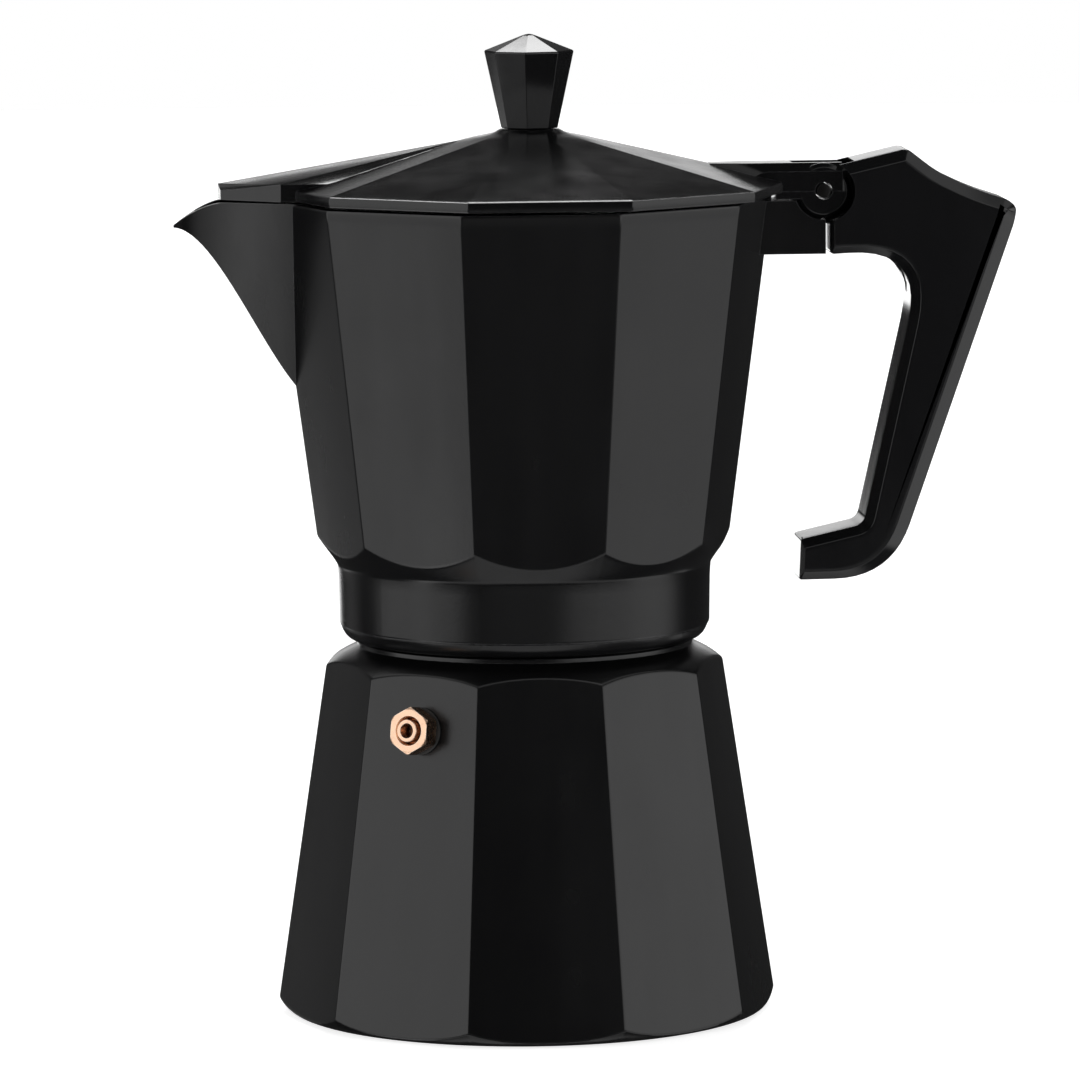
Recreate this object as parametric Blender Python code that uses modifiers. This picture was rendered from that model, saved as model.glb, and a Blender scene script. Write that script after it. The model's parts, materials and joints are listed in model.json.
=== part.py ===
"""Stovetop moka pot: boiler, filter funnel, collector with spout, hinged lid, handle and safety valve.

Everything stands on Z = 0 with the pot's axis on Z. The handle points along +X and the spout along -X.
Dimensions are written in millimetres and multiplied by MM, because the scene is in metres.
"""

import math

import bmesh
import bpy
from mathutils import Matrix, Vector

MM = 0.001
GAP = 0.3  # clearance between two pieces that touch on the real pot

# The body has ten flat sides, with a corner towards the handle and one towards the spout.
SIDES = 10
CORNER = 2 * math.pi / SIDES
FLAT = math.cos(CORNER / 2)  # distance to a flat side, as a share of the distance to a corner
ROUND_STEPS = 50
FINE_STEPS = 30
SMALL_STEPS = 16

# Boiler
BOILER_FOOT_Z, BOILER_FOOT_R = 2.8, 52.5
BOILER_TOP_Z, BOILER_TOP_R = 73.8, 41.8
BOILER_SLOPE = (BOILER_FOOT_R - BOILER_TOP_R) / (BOILER_TOP_Z - BOILER_FOOT_Z)
BOILER_WALL = 2.6
BOILER_FLOOR = 3.2
NECK_R = 35.2
RIM_Z = 88.0
MOUTH_R = 29.5
THREAD_ROOT_R, THREAD_CREST_R = 33.0, 33.8
THREAD_PITCH = 3.0
THREAD_TURNS = 2

# Safety valve, on the side that is two sides to the left of the handle
VALVE_TURN = math.radians(-126)
VALVE_Z = 63.8
VALVE_TILT = math.atan(BOILER_SLOPE * FLAT)
HEX_R = 4.97
VALVE_FACE = 5.0
VALVE_BORE_R = 2.87
SEAT_BORE_R = 1.7
SEAT_DEPTH = -2.6
SHANK_R, SHANK_END = 3.5, -4.6

# Funnel, gasket and filter plate
CUP_R, CUP_WALL = 28.8, 0.8
STEM_R = 4.0
STEM_END_Z = 9.0
FLANGE_R = 33.2
FUNNEL_Z = RIM_Z + GAP
GASKET_R, GASKET_HOLE_R = 34.0, 27.5
GASKET_Z, GASKET_THICKNESS = 89.6, 3.0
SHEET = 0.8
HOLE_PITCH, HOLE_R = 9.0, 1.1

# Collector
SKIRT_BORE_R = 34.3
SKIRT_END_Z = 79.0
SEAT_Z = GASKET_Z + GASKET_THICKNESS + GAP
COLLECTOR_LOW_Z, COLLECTOR_LOW_R = 99.2, 43.24
COLLECTOR_TOP_Z, COLLECTOR_TOP_R = 171.4, 52.69
COLLECTOR_SLOPE = (COLLECTOR_TOP_R - COLLECTOR_LOW_R) / (COLLECTOR_TOP_Z - COLLECTOR_LOW_Z)
COLLECTOR_FLOOR_Z = 98.6
COLUMN_TOP_Z = 145.0
COLUMN_BORE_R = 3.5

# Spout
SPOUT_TIP_X = -72.7
SPOUT_ROOT_X, SPOUT_ROOT_HALF_WIDTH = -48.3, 13.6
SPOUT_CURL_X, SPOUT_CURL_DROP = -62.0, 5.0
KEEL = ((-46.9, 131.7), (-55.0, 141.0), (-64.5, 165.5), (SPOUT_TIP_X, 165.9))

# Lid, hinge and knob
LID_X = 1.8
LID_R = 54.2
LID_BOTTOM_Z, LID_RIM_Z = 171.9, 174.1
LID_NECK_R, LID_NECK_Z = 10.9, 184.2
PIN_X, PIN_Z, PIN_R = 62.9, 172.2, 1.5
PIN_HOLE_R = PIN_R + GAP
KNUCKLE_R, KNUCKLE_CHAMFER = 5.8, 0.9
ARM_HALF_WIDTH, LUG_HALF_WIDTH = 5.8, 2.5
ARM_TOP_Z = PIN_Z + KNUCKLE_R
ARM_END_X, ARM_SLOT_END_X = 66.9, 69.3
KNOB_LOW_Z, KNOB_LOW_R = 186.0, 6.0
KNOB_EDGE_Z, KNOB_EDGE_R = 202.0, 9.45
KNOB_TOP_Z = 205.4
KNOB_TURN = math.radians(-9.2)

# Handle
HANDLE_HALF_WIDTH = 8.5
HANDLE_CHAMFER = 2.3
HOLLOW_R = KNUCKLE_R + 0.5
HANDLE_FRONT_X = 64.1
BRACKET_LOW_Z, BRACKET_TOP_Z, BRACKET_END_X = 159.0, 170.3, 63.3
TONGUE_END_X, TONGUE_LOW_Z, TONGUE_TOP_Z = 84.0, 167.2, 176.2
SCREW_X = 77.5


def clear_scene():
    for obj in list(bpy.data.objects):
        bpy.data.objects.remove(obj, do_unlink=True)
    for group in list(bpy.data.collections):
        bpy.data.collections.remove(group)


def new_collection(name):
    group = bpy.data.collections.new(name)
    bpy.context.scene.collection.children.link(group)
    return group


clear_scene()
PARTS = new_collection("moka_pot")
CUTTERS = new_collection("cutters")


# --- Materials ---


def surface(name, colour, roughness, metallic):
    """A Principled material with one colour and one gloss."""
    material = bpy.data.materials.new(name)
    material.use_nodes = True
    shader = material.node_tree.nodes["Principled BSDF"]
    shader.inputs["Base Color"].default_value = (*colour, 1.0)
    shader.inputs["Roughness"].default_value = roughness
    shader.inputs["Metallic"].default_value = metallic
    return material


def black_coating(name):
    return surface(name, (0.012, 0.012, 0.013), 0.22, 0.0)


def bare_aluminium(name):
    return surface(name, (0.78, 0.78, 0.79), 0.35, 1.0)


def bakelite(name):
    return surface(name, (0.006, 0.006, 0.007), 0.12, 0.0)


def steel(name):
    return surface(name, (0.62, 0.62, 0.63), 0.25, 1.0)


def blackened_steel(name):
    return surface(name, (0.06, 0.06, 0.06), 0.4, 1.0)


def copper_plate(name):
    return surface(name, (0.86, 0.55, 0.40), 0.25, 1.0)


def white_rubber(name):
    return surface(name, (0.85, 0.83, 0.78), 0.6, 0.0)


def black_rubber(name):
    return surface(name, (0.02, 0.02, 0.02), 0.6, 0.0)


# --- Shapes ---


def add(name, mesh):
    obj = bpy.data.objects.new(name, mesh)
    PARTS.objects.link(obj)
    return obj


def turned(name, profile, steps=ROUND_STEPS, smooth=True):
    """A profile of (radius, height) points swept round Z. Open profiles start and end on the axis."""
    points = [(radius * MM, 0, height * MM) for radius, height in profile]
    edges = [(i, i + 1) for i in range(len(points) - 1)]
    if profile[0][0] > 0:
        edges.append((len(points) - 1, 0))
    mesh = bpy.data.meshes.new(name)
    mesh.from_pydata(points, edges, [])
    obj = add(name, mesh)
    screw = obj.modifiers.new("Turn", "SCREW")
    screw.steps = screw.render_steps = steps
    screw.use_merge_vertices = True
    screw.merge_threshold = 1e-5
    screw.use_smooth_shade = smooth
    return obj


def faceted(name, profile):
    """The same sweep in ten steps, which gives flat sides with a corner on +X."""
    return turned(name, profile, SIDES, smooth=False)


def box(name, low, high):
    mesh = bpy.data.meshes.new(name)
    shape = bmesh.new()
    bmesh.ops.create_cube(shape, size=1.0)
    size = [(b - a) * MM for a, b in zip(low, high)]
    centre = [(a + b) / 2 * MM for a, b in zip(low, high)]
    bmesh.ops.scale(shape, vec=size, verts=shape.verts)
    bmesh.ops.translate(shape, vec=centre, verts=shape.verts)
    shape.to_mesh(mesh)
    shape.free()
    return add(name, mesh)


def hull(name, points):
    """The smallest convex solid round the given points."""
    mesh = bpy.data.meshes.new(name)
    shape = bmesh.new()
    for point in points:
        shape.verts.new(Vector(point) * MM)
    result = bmesh.ops.convex_hull(shape, input=shape.verts)
    loose = list({v for v in result["geom_interior"] if isinstance(v, bmesh.types.BMVert)})
    bmesh.ops.delete(shape, geom=loose, context="VERTS")
    bmesh.ops.recalc_face_normals(shape, faces=shape.faces)
    shape.to_mesh(mesh)
    shape.free()
    return add(name, mesh)


def mirrored(points):
    """The points given for y >= 0, and their mirror images across the X-Z plane."""
    return list(points) + [(x, -y, z) for x, y, z in points]


def slab(name, outline, half_width):
    """An outline of (x, z) points, extruded half_width each way along Y, as a mesh."""
    curve = bpy.data.curves.new(name, "CURVE")
    curve.dimensions = "2D"
    curve.fill_mode = "BOTH"
    curve.extrude = half_width * MM
    spline = curve.splines.new("POLY")
    spline.points.add(len(outline) - 1)
    for point, (x, z) in zip(spline.points, outline):
        point.co = (x * MM, z * MM, 0, 1)
    spline.use_cyclic_u = True
    guide = add(name, curve)
    guide.rotation_euler = (math.pi / 2, 0, 0)
    return mesh_of(guide)


def tube_along(name, points, radius):
    """A round wire through the given points, as a curve with filled ends."""
    curve = bpy.data.curves.new(name, "CURVE")
    curve.dimensions = "3D"
    curve.bevel_depth = radius * MM
    curve.bevel_resolution = 2
    curve.use_fill_caps = True
    spline = curve.splines.new("POLY")
    spline.points.add(len(points) - 1)
    for point, place in zip(spline.points, points):
        point.co = (*(Vector(place) * MM), 1)
    return add(name, curve)


def mesh_of(obj):
    """Turns a curve into a closed mesh object of the same name and place."""
    bpy.context.view_layer.update()
    evaluated = obj.evaluated_get(bpy.context.evaluated_depsgraph_get())
    mesh = bpy.data.meshes.new_from_object(evaluated)
    shape = bmesh.new()
    shape.from_mesh(mesh)
    bmesh.ops.remove_doubles(shape, verts=shape.verts, dist=1e-6)
    bmesh.ops.recalc_face_normals(shape, faces=shape.faces)
    shape.to_mesh(mesh)
    shape.free()
    name, place = obj.name, obj.matrix_world.copy()
    bpy.data.objects.remove(obj, do_unlink=True)
    result = add(name, mesh)
    result.matrix_world = place
    return result


def arc(centre, radius, start, end, count):
    """Points on a circle in the X-Z plane, between two angles in degrees."""
    angles = [math.radians(start + (end - start) * i / (count - 1)) for i in range(count)]
    return [(centre[0] + radius * math.cos(a), centre[1] + radius * math.sin(a)) for a in angles]


def combine(obj, other, operation):
    """A Boolean with a helper object, which moves to the cutters."""
    modifier = obj.modifiers.new(operation.title(), "BOOLEAN")
    modifier.operation = operation
    modifier.solver = "EXACT"
    modifier.object = other
    if other.name in PARTS.objects:
        PARTS.objects.unlink(other)
        CUTTERS.objects.link(other)
    other.hide_render = True
    other.display_type = "WIRE"
    return obj


def finish(obj, material):
    """Gives a part its material and smooth shading with sharp corners kept."""
    obj.data.materials.clear()
    obj.data.materials.append(material)
    if obj.type == "MESH":
        obj.data.shade_smooth()
        obj.data.set_sharp_from_angle(angle=math.radians(25))
    return obj


def hole_cutter(name, radius, low, high, place=None):
    """A round cutter on Z between two heights, moved by the given matrix."""
    cutter = turned(name, [(0, high), (radius, high), (radius, low), (0, low)], SMALL_STEPS)
    if place is not None:
        cutter.matrix_world = place
    return cutter


def along_y(x, z):
    """A placement whose local Z runs along world Y through (x, z)."""
    return Matrix.Translation(Vector((x, 0, z)) * MM) @ Matrix.Rotation(-math.pi / 2, 4, "X")


# --- Boiler and valve ---


def boiler_corner_r(z):
    return BOILER_FOOT_R - BOILER_SLOPE * (z - BOILER_FOOT_Z)


def collector_corner_r(z):
    return COLLECTOR_LOW_R + COLLECTOR_SLOPE * (z - COLLECTOR_LOW_Z)


def thread_profile():
    """Ring ridges down the neck, standing in for the screw thread."""
    points = []
    for turn in range(THREAD_TURNS):
        top = RIM_Z - 1.4 - turn * THREAD_PITCH
        points += [(THREAD_ROOT_R, top), (THREAD_CREST_R, top - 0.5)]
        points += [(THREAD_CREST_R, top - 0.9), (THREAD_ROOT_R, top - 1.4)]
    return points


def boiler_envelope():
    """The turned outline that cuts the ten-sided body: rim, neck, shoulder and foot."""
    neck = [(0, RIM_Z), (THREAD_ROOT_R - 0.5, RIM_Z), (THREAD_ROOT_R, RIM_Z - 0.5)]
    shoulder = [
        (THREAD_ROOT_R, 78.9),
        (NECK_R, 78.5),
        (NECK_R, 77.7),
        (36.0, 77.1),
        (37.8, 76.3),
        (39.5, 75.4),
        (41.0, 74.5),
        (42.2, 73.3),
        (60.0, 70.0),
    ]
    foot = [(60.0, 20.0), (53.0, 4.2), (52.4, 2.7), (51.3, 1.5), (49.6, 0.55), (47.3, 0), (0, 0)]
    return neck + thread_profile() + shoulder + foot


def valve_frame():
    """The valve's own frame: Z along its axis and outwards, Y up the boiler's side."""
    out = Vector((math.cos(VALVE_TURN), math.sin(VALVE_TURN), 0)) * math.cos(VALVE_TILT)
    out.z = math.sin(VALVE_TILT)
    side = Vector((0, 0, 1)).cross(out).normalized()
    up = out.cross(side)
    reach = boiler_corner_r(VALVE_Z) * FLAT
    origin = Vector((reach * math.cos(VALVE_TURN), reach * math.sin(VALVE_TURN), VALVE_Z)) * MM
    turn = Matrix((side, up, out)).transposed().to_4x4()
    return Matrix.Translation(origin) @ turn


def make_boiler():
    top, low = 90.0, -1.0
    boiler = faceted(
        "boiler",
        [(0, top), (boiler_corner_r(top), top), (boiler_corner_r(low), low), (0, low)],
    )
    combine(boiler, turned("boiler_envelope", boiler_envelope()), "INTERSECT")
    wall_top_r = boiler_corner_r(70) * FLAT - BOILER_WALL
    wall_low_r = boiler_corner_r(6) * FLAT - BOILER_WALL
    inside = [
        (0, 91),
        (MOUTH_R, 91),
        (MOUTH_R, 78.0),
        (31.0, 75.2),
        (wall_top_r, 70),
        (wall_low_r, 6),
        (wall_low_r - 3, BOILER_FLOOR),
        (0, BOILER_FLOOR),
    ]
    combine(boiler, turned("boiler_inside", inside), "DIFFERENCE")
    hole = hole_cutter("valve_hole", SHANK_R + GAP, -8, 6, valve_frame())
    combine(boiler, hole, "DIFFERENCE")
    finish(boiler, black_coating("boiler"))


def hexagon(name, radius, low, high):
    """A six-sided bar on Z with a corner on local Y."""
    bar = turned(name, [(0, high), (radius, high), (radius, low), (0, low)], 6, smooth=False)
    bar.data.transform(Matrix.Rotation(math.pi / 2, 4, "Z"))
    return bar


def make_valve_body(place):
    head_low = 1.1
    body = hexagon("valve_body", HEX_R, head_low, VALVE_FACE)
    crown = [
        (0, VALVE_FACE),
        (4.5, VALVE_FACE),
        (5.2, VALVE_FACE - 0.55),
        (5.2, head_low + 0.3),
        (4.7, head_low),
        (0, head_low),
    ]
    combine(body, turned("valve_crown", crown, FINE_STEPS), "INTERSECT")
    shank = hole_cutter("valve_shank", SHANK_R, SHANK_END, head_low + 0.5)
    combine(body, shank, "UNION")
    bore = [
        (0, VALVE_FACE + 1),
        (VALVE_BORE_R, VALVE_FACE + 1),
        (VALVE_BORE_R, SEAT_DEPTH + 0.6),
        (SEAT_BORE_R, SEAT_DEPTH),
        (SEAT_BORE_R, SHANK_END - 1),
        (0, SHANK_END - 1),
    ]
    combine(body, turned("valve_bore", bore, FINE_STEPS), "DIFFERENCE")
    for helper in (bpy.data.objects["valve_crown"], shank, bpy.data.objects["valve_bore"]):
        helper.matrix_world = place
    body.matrix_world = place
    finish(body, copper_plate("valve_body"))


def make_valve_washer(place):
    washer = turned("valve_washer", [(4.9, 0.8), (4.9, 0.3), (3.85, 0.3), (3.85, 0.8)], FINE_STEPS)
    washer.matrix_world = place
    finish(washer, black_rubber("valve_washer"))


def make_valve_retainer(place):
    """The bush in the valve's mouth, which holds the spring in."""
    profile = [(1.5, 5.7), (2.2, 5.7), (2.35, 5.5), (2.35, 3.2), (2.57, 3.2), (2.57, 2.2), (1.5, 2.2)]
    retainer = turned("valve_retainer", profile, SMALL_STEPS)
    retainer.matrix_world = place
    finish(retainer, copper_plate("valve_retainer"))


def make_valve_plunger(place):
    """Cone-nosed plunger with a stem inside the spring."""
    profile = [
        (0, 2.8),
        (0.8, 2.8),
        (0.8, -1.2),
        (2.5, -1.2),
        (2.5, -1.7),
        (1.35, -2.5),
        (0.9, -3.4),
        (0, -3.4),
    ]
    plunger = turned("valve_plunger", profile, SMALL_STEPS)
    plunger.matrix_world = place
    finish(plunger, copper_plate("valve_plunger"))


def make_valve_spring(place):
    turns, per_turn, radius, low, high = 3, 9, 1.95, -0.25, 1.65
    count = turns * per_turn
    points = []
    for i in range(count + 1):
        angle = 2 * math.pi * i / per_turn
        height = low + (high - low) * i / count
        points.append((radius * math.cos(angle), radius * math.sin(angle), height))
    spring = tube_along("valve_spring", points, 0.23)
    spring.matrix_world = place
    finish(spring, steel("valve_spring"))


def make_valve():
    place = valve_frame()
    make_valve_body(place)
    make_valve_washer(place)
    make_valve_retainer(place)
    make_valve_plunger(place)
    make_valve_spring(place)


# --- Funnel, gasket and filter plate ---


def make_funnel():
    top = FUNNEL_Z + 1.0
    inner_r = CUP_R - CUP_WALL
    bore_r = STEM_R - CUP_WALL
    profile = [
        (FLANGE_R, top),
        (FLANGE_R, FUNNEL_Z),
        (CUP_R, FUNNEL_Z),
        (CUP_R, 63.0),
        (27.0, 60.4),
        (6.0, 57.0),
        (STEM_R, 54.5),
        (STEM_R, STEM_END_Z),
        (bore_r, STEM_END_Z),
        (bore_r, 54.8),
        (5.6, 57.8),
        (26.5, 61.2),
        (inner_r, 63.4),
        (inner_r, top),
    ]
    finish(turned("funnel", profile, FINE_STEPS), bare_aluminium("funnel"))


def lattice(reach, pitch):
    """Places on a triangular grid, within a distance of the middle."""
    found = []
    rows = int(reach / pitch) + 2
    for row in range(-rows, rows + 1):
        for column in range(-rows, rows + 1):
            x = (column + row / 2) * pitch
            y = row * pitch * math.sqrt(3) / 2
            if math.hypot(x, y) <= reach:
                found.append((x, y))
    return found


def perforated_plate(name, radius, low, material):
    """A thin disc with a grid of holes."""
    high = low + SHEET
    plate = turned(name, [(0, high), (radius, high), (radius, low), (0, low)], FINE_STEPS)
    mesh = bpy.data.meshes.new(name + "_holes")
    shape = bmesh.new()
    for x, y in lattice(radius - 5, HOLE_PITCH):
        place = Matrix.Translation(Vector((x, y, (low + high) / 2)) * MM)
        bmesh.ops.create_cone(
            shape,
            cap_ends=True,
            segments=6,
            radius1=HOLE_R * MM,
            radius2=HOLE_R * MM,
            depth=4 * SHEET * MM,
            matrix=place,
        )
    shape.to_mesh(mesh)
    shape.free()
    combine(plate, add(name + "_holes", mesh), "DIFFERENCE")
    finish(plate, material)


def make_filters():
    perforated_plate("funnel_screen", 27.6, 63.9, bare_aluminium("funnel_screen"))
    perforated_plate("filter_plate", 29.6, SEAT_Z + GAP, bare_aluminium("filter_plate"))


def make_gasket():
    low, high, edge = GASKET_Z, GASKET_Z + GASKET_THICKNESS, 0.4
    profile = [
        (GASKET_HOLE_R, high - edge),
        (GASKET_HOLE_R + edge, high),
        (GASKET_R - edge, high),
        (GASKET_R, high - edge),
        (GASKET_R, low + edge),
        (GASKET_R - edge, low),
        (GASKET_HOLE_R + edge, low),
        (GASKET_HOLE_R, low + edge),
    ]
    finish(turned("gasket", profile, FINE_STEPS), white_rubber("gasket"))


# --- Collector, spout and bracket ---


def keel_point(share):
    """A point on the spout's lower edge: a cubic curve from the body to the tip."""
    a, b, c, d = KEEL
    weights = ((1 - share) ** 3, 3 * share * (1 - share) ** 2, 3 * share**2 * (1 - share), share**3)
    return tuple(sum(w * p[i] for w, p in zip(weights, (a, b, c, d))) for i in range(2))


def rim_outline():
    """The region above the body's rim, whose edge curls down along the spout to its tip."""
    outline = [(90.0, 190.0), (90.0, COLLECTOR_TOP_Z)]
    for i in range(7):
        share = i / 6
        x = SPOUT_CURL_X + share * (SPOUT_TIP_X - SPOUT_CURL_X)
        outline.append((x, COLLECTOR_TOP_Z - SPOUT_CURL_DROP * share**1.7))
    return outline + [(-90.0, 164.0), (-90.0, 190.0)]


def spout_half_width(x):
    return SPOUT_ROOT_HALF_WIDTH * (x - SPOUT_TIP_X) / (SPOUT_ROOT_X - SPOUT_TIP_X)


def loft(name, sections):
    """A closed solid through sections of equal point count, made of quads with flat ends."""
    mesh = bpy.data.meshes.new(name)
    shape = bmesh.new()
    rings = [[shape.verts.new(Vector(point) * MM) for point in section] for section in sections]
    for first, second in zip(rings, rings[1:]):
        for i in range(len(first)):
            j = (i + 1) % len(first)
            shape.faces.new((first[i], first[j], second[j], second[i]))
    shape.faces.new(rings[0])
    shape.faces.new(rings[-1])
    bmesh.ops.recalc_face_normals(shape, faces=shape.faces)
    shape.to_mesh(mesh)
    shape.free()
    return add(name, mesh)


def spout_sections(inside):
    """V-shaped sections from inside the body to the tip; inside=True gives the channel's."""
    sections = []
    count = 14
    for i in range(-3, count):
        share = i / (count - 1)
        x, keel_z = keel_point(max(share, 0))
        if share < 0:
            x, keel_z = x - share * 28, keel_z + share * 34
        top_z = COLLECTOR_TOP_Z
        half = max(spout_half_width(x), 0.5)
        if not inside:
            sections.append([(x, 0, keel_z), (x, half, top_z), (x, -half, top_z)])
            continue
        near_tip = min(max((SPOUT_ROOT_X - x) / (SPOUT_ROOT_X - SPOUT_TIP_X), 0), 1)
        wall = 2.2 - 1.5 * near_tip
        slope = half / (top_z - keel_z)
        keel_z += wall / math.sin(math.atan(slope))
        top_z += 4
        half = slope * (top_z - keel_z)
        if top_z - 8 > keel_z:
            sections.append([(x, 0, keel_z), (x, half, top_z), (x, -half, top_z)])
    return sections


def lug_outline():
    """The hinge lug round the pin, and the tongue behind it that the handle is screwed to."""
    pin = (PIN_X, PIN_Z)
    return [
        (53.5, 163.0),
        (53.5, 168.5),
        (57.2, 170.2),
        *arc(pin, KNUCKLE_R - GAP, 200, 45, 10),
        (67.5, TONGUE_TOP_Z),
        (TONGUE_END_X, TONGUE_TOP_Z),
        (TONGUE_END_X, TONGUE_LOW_Z),
        (63.5, TONGUE_LOW_Z),
        (60.0, 163.0),
    ]


def make_collector():
    top, low = COLLECTOR_TOP_Z + 3, 92.0
    collector = faceted(
        "collector",
        [(0, top), (collector_corner_r(top), top), (collector_corner_r(low), low), (0, low)],
    )
    envelope = [
        (0, 180),
        (70, 180),
        (70, 134.5),
        (43.2, 100.6),
        (41.7, 98.3),
        (40.3, 96.6),
        (39.6, 95.5),
        (39.2, 94.5),
        (39.0, 92.0),
        (0, 91.0),
    ]
    combine(collector, turned("collector_envelope", envelope), "INTERSECT")
    skirt = [
        (0, 96.0),
        (39.3, 96.0),
        (39.1, 93.0),
        (38.9, 82.2),
        (38.6, 81.8),
        (35.8, SKIRT_END_Z),
        (0, SKIRT_END_Z),
    ]
    combine(collector, turned("collector_skirt", skirt), "UNION")
    combine(collector, loft("spout_outside", spout_sections(False)), "UNION")
    combine(collector, slab("rim_cut", rim_outline(), 70), "DIFFERENCE")
    block = box(
        "hinge_bracket",
        (46, -ARM_HALF_WIDTH, BRACKET_LOW_Z),
        (BRACKET_END_X, ARM_HALF_WIDTH, BRACKET_TOP_Z),
    )
    knuckle_room = turned(
        "knuckle_room",
        [(0, 9), (KNUCKLE_R + GAP, 9), (KNUCKLE_R + GAP, -9), (0, -9)],
        FINE_STEPS,
    )
    knuckle_room.matrix_world = along_y(PIN_X, PIN_Z)
    combine(block, knuckle_room, "DIFFERENCE")
    combine(collector, block, "UNION")
    combine(collector, slab("hinge_lug", lug_outline(), LUG_HALF_WIDTH), "UNION")
    inside_low_r = collector_corner_r(COLLECTOR_FLOOR_Z) - 3.6
    inside = faceted(
        "collector_inside",
        [
            (0, 176),
            (collector_corner_r(176) - 2.9, 176),
            (inside_low_r, COLLECTOR_FLOOR_Z),
            (0, COLLECTOR_FLOOR_Z),
        ],
    )
    combine(collector, inside, "DIFFERENCE")
    combine(collector, loft("spout_channel", spout_sections(True)), "DIFFERENCE")
    under = [
        (0, COLLECTOR_FLOOR_Z + 1),
        (7.0, COLLECTOR_FLOOR_Z + 1),
        (7.0, 96.2),
        (9.0, 96.0),
        (30.0, SEAT_Z + 1.6),
        (30.0, SEAT_Z),
        (SKIRT_BORE_R, SEAT_Z),
        (SKIRT_BORE_R, 77.0),
        (0, 77.0),
    ]
    combine(collector, turned("collector_underside", under), "DIFFERENCE")
    pin_hole = hole_cutter("lug_pin_hole", PIN_HOLE_R, -9, 9, along_y(PIN_X, PIN_Z))
    combine(collector, pin_hole, "DIFFERENCE")
    screw_place = Matrix.Translation(Vector((SCREW_X, 0, 0)) * MM)
    screw_hole = hole_cutter("tongue_screw_hole", 1.9, 150, 180, screw_place)
    combine(collector, screw_hole, "DIFFERENCE")
    finish(collector, black_coating("collector"))


def make_riser_column():
    """The tube that brings the coffee up, with two slots near its closed top."""
    profile = [
        (0, COLUMN_TOP_Z),
        (3.0, COLUMN_TOP_Z - 0.4),
        (4.8, COLUMN_TOP_Z - 1.6),
        (5.6, COLUMN_TOP_Z - 4.0),
        (8.6, 102.0),
        (10.0, 100.4),
        (10.0, COLLECTOR_FLOOR_Z + GAP),
        (6.7, COLLECTOR_FLOOR_Z + GAP),
        (6.7, 95.8),
        (COLUMN_BORE_R, 95.8),
        (COLUMN_BORE_R, COLUMN_TOP_Z - 2.2),
        (0, COLUMN_TOP_Z - 1.9),
    ]
    column = turned("riser_column", profile, FINE_STEPS)
    slot = box("riser_slots", (-9, -1.6, COLUMN_TOP_Z - 9.5), (9, 1.6, COLUMN_TOP_Z - 3.4))
    combine(column, slot, "DIFFERENCE")
    finish(column, bare_aluminium("riser_column"))


# --- Lid, knob and hinge ---


def lid_profile_z(radius):
    """Height of a lid corner ridge at a distance from the lid's middle."""
    slope = (LID_NECK_Z - LID_RIM_Z) / (LID_R - LID_NECK_R)
    return LID_RIM_Z + slope * (LID_R - radius)


def beak_points(inset):
    """The wedge of the lid that covers the spout, or the hollow under it when inset is over 0."""
    low = LID_BOTTOM_Z - 3 if inset else LID_BOTTOM_Z
    side = inset * 1.2
    upper = [
        (-63.4 + inset, 0, 175.0 - inset),
        (-13.3, 0, 183.3 - inset),
        (-63.0 + inset, 4.6 - side, 173.8 - inset),
        (-51.0, 13.9 - side, 175.6 - inset),
        (-38.0, 14.5 - side, 175.6 - inset),
    ]
    lower = [(x, y, low) for x, y, z in upper if z < 178]
    return mirrored(upper + lower)


def arm_points():
    """The flat-topped arm from the lid's slope to the hinge pin."""
    half = ARM_HALF_WIDTH - 0.06
    top_half = half - 1.5
    side_z = ARM_TOP_Z - 1.5
    return mirrored(
        [
            (40.6, 3.0, 177.7),
            (46.5, top_half, ARM_TOP_Z),
            (ARM_END_X, top_half, ARM_TOP_Z),
            (51.5, half, side_z),
            (ARM_END_X, half, side_z),
            (46.4, half, 173.6),
            (46.4, half, LID_BOTTOM_Z + 0.2),
            (38.0, 3.0, 175.0),
            (ARM_END_X, half, LID_BOTTOM_Z + 0.2),
        ]
    )


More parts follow.
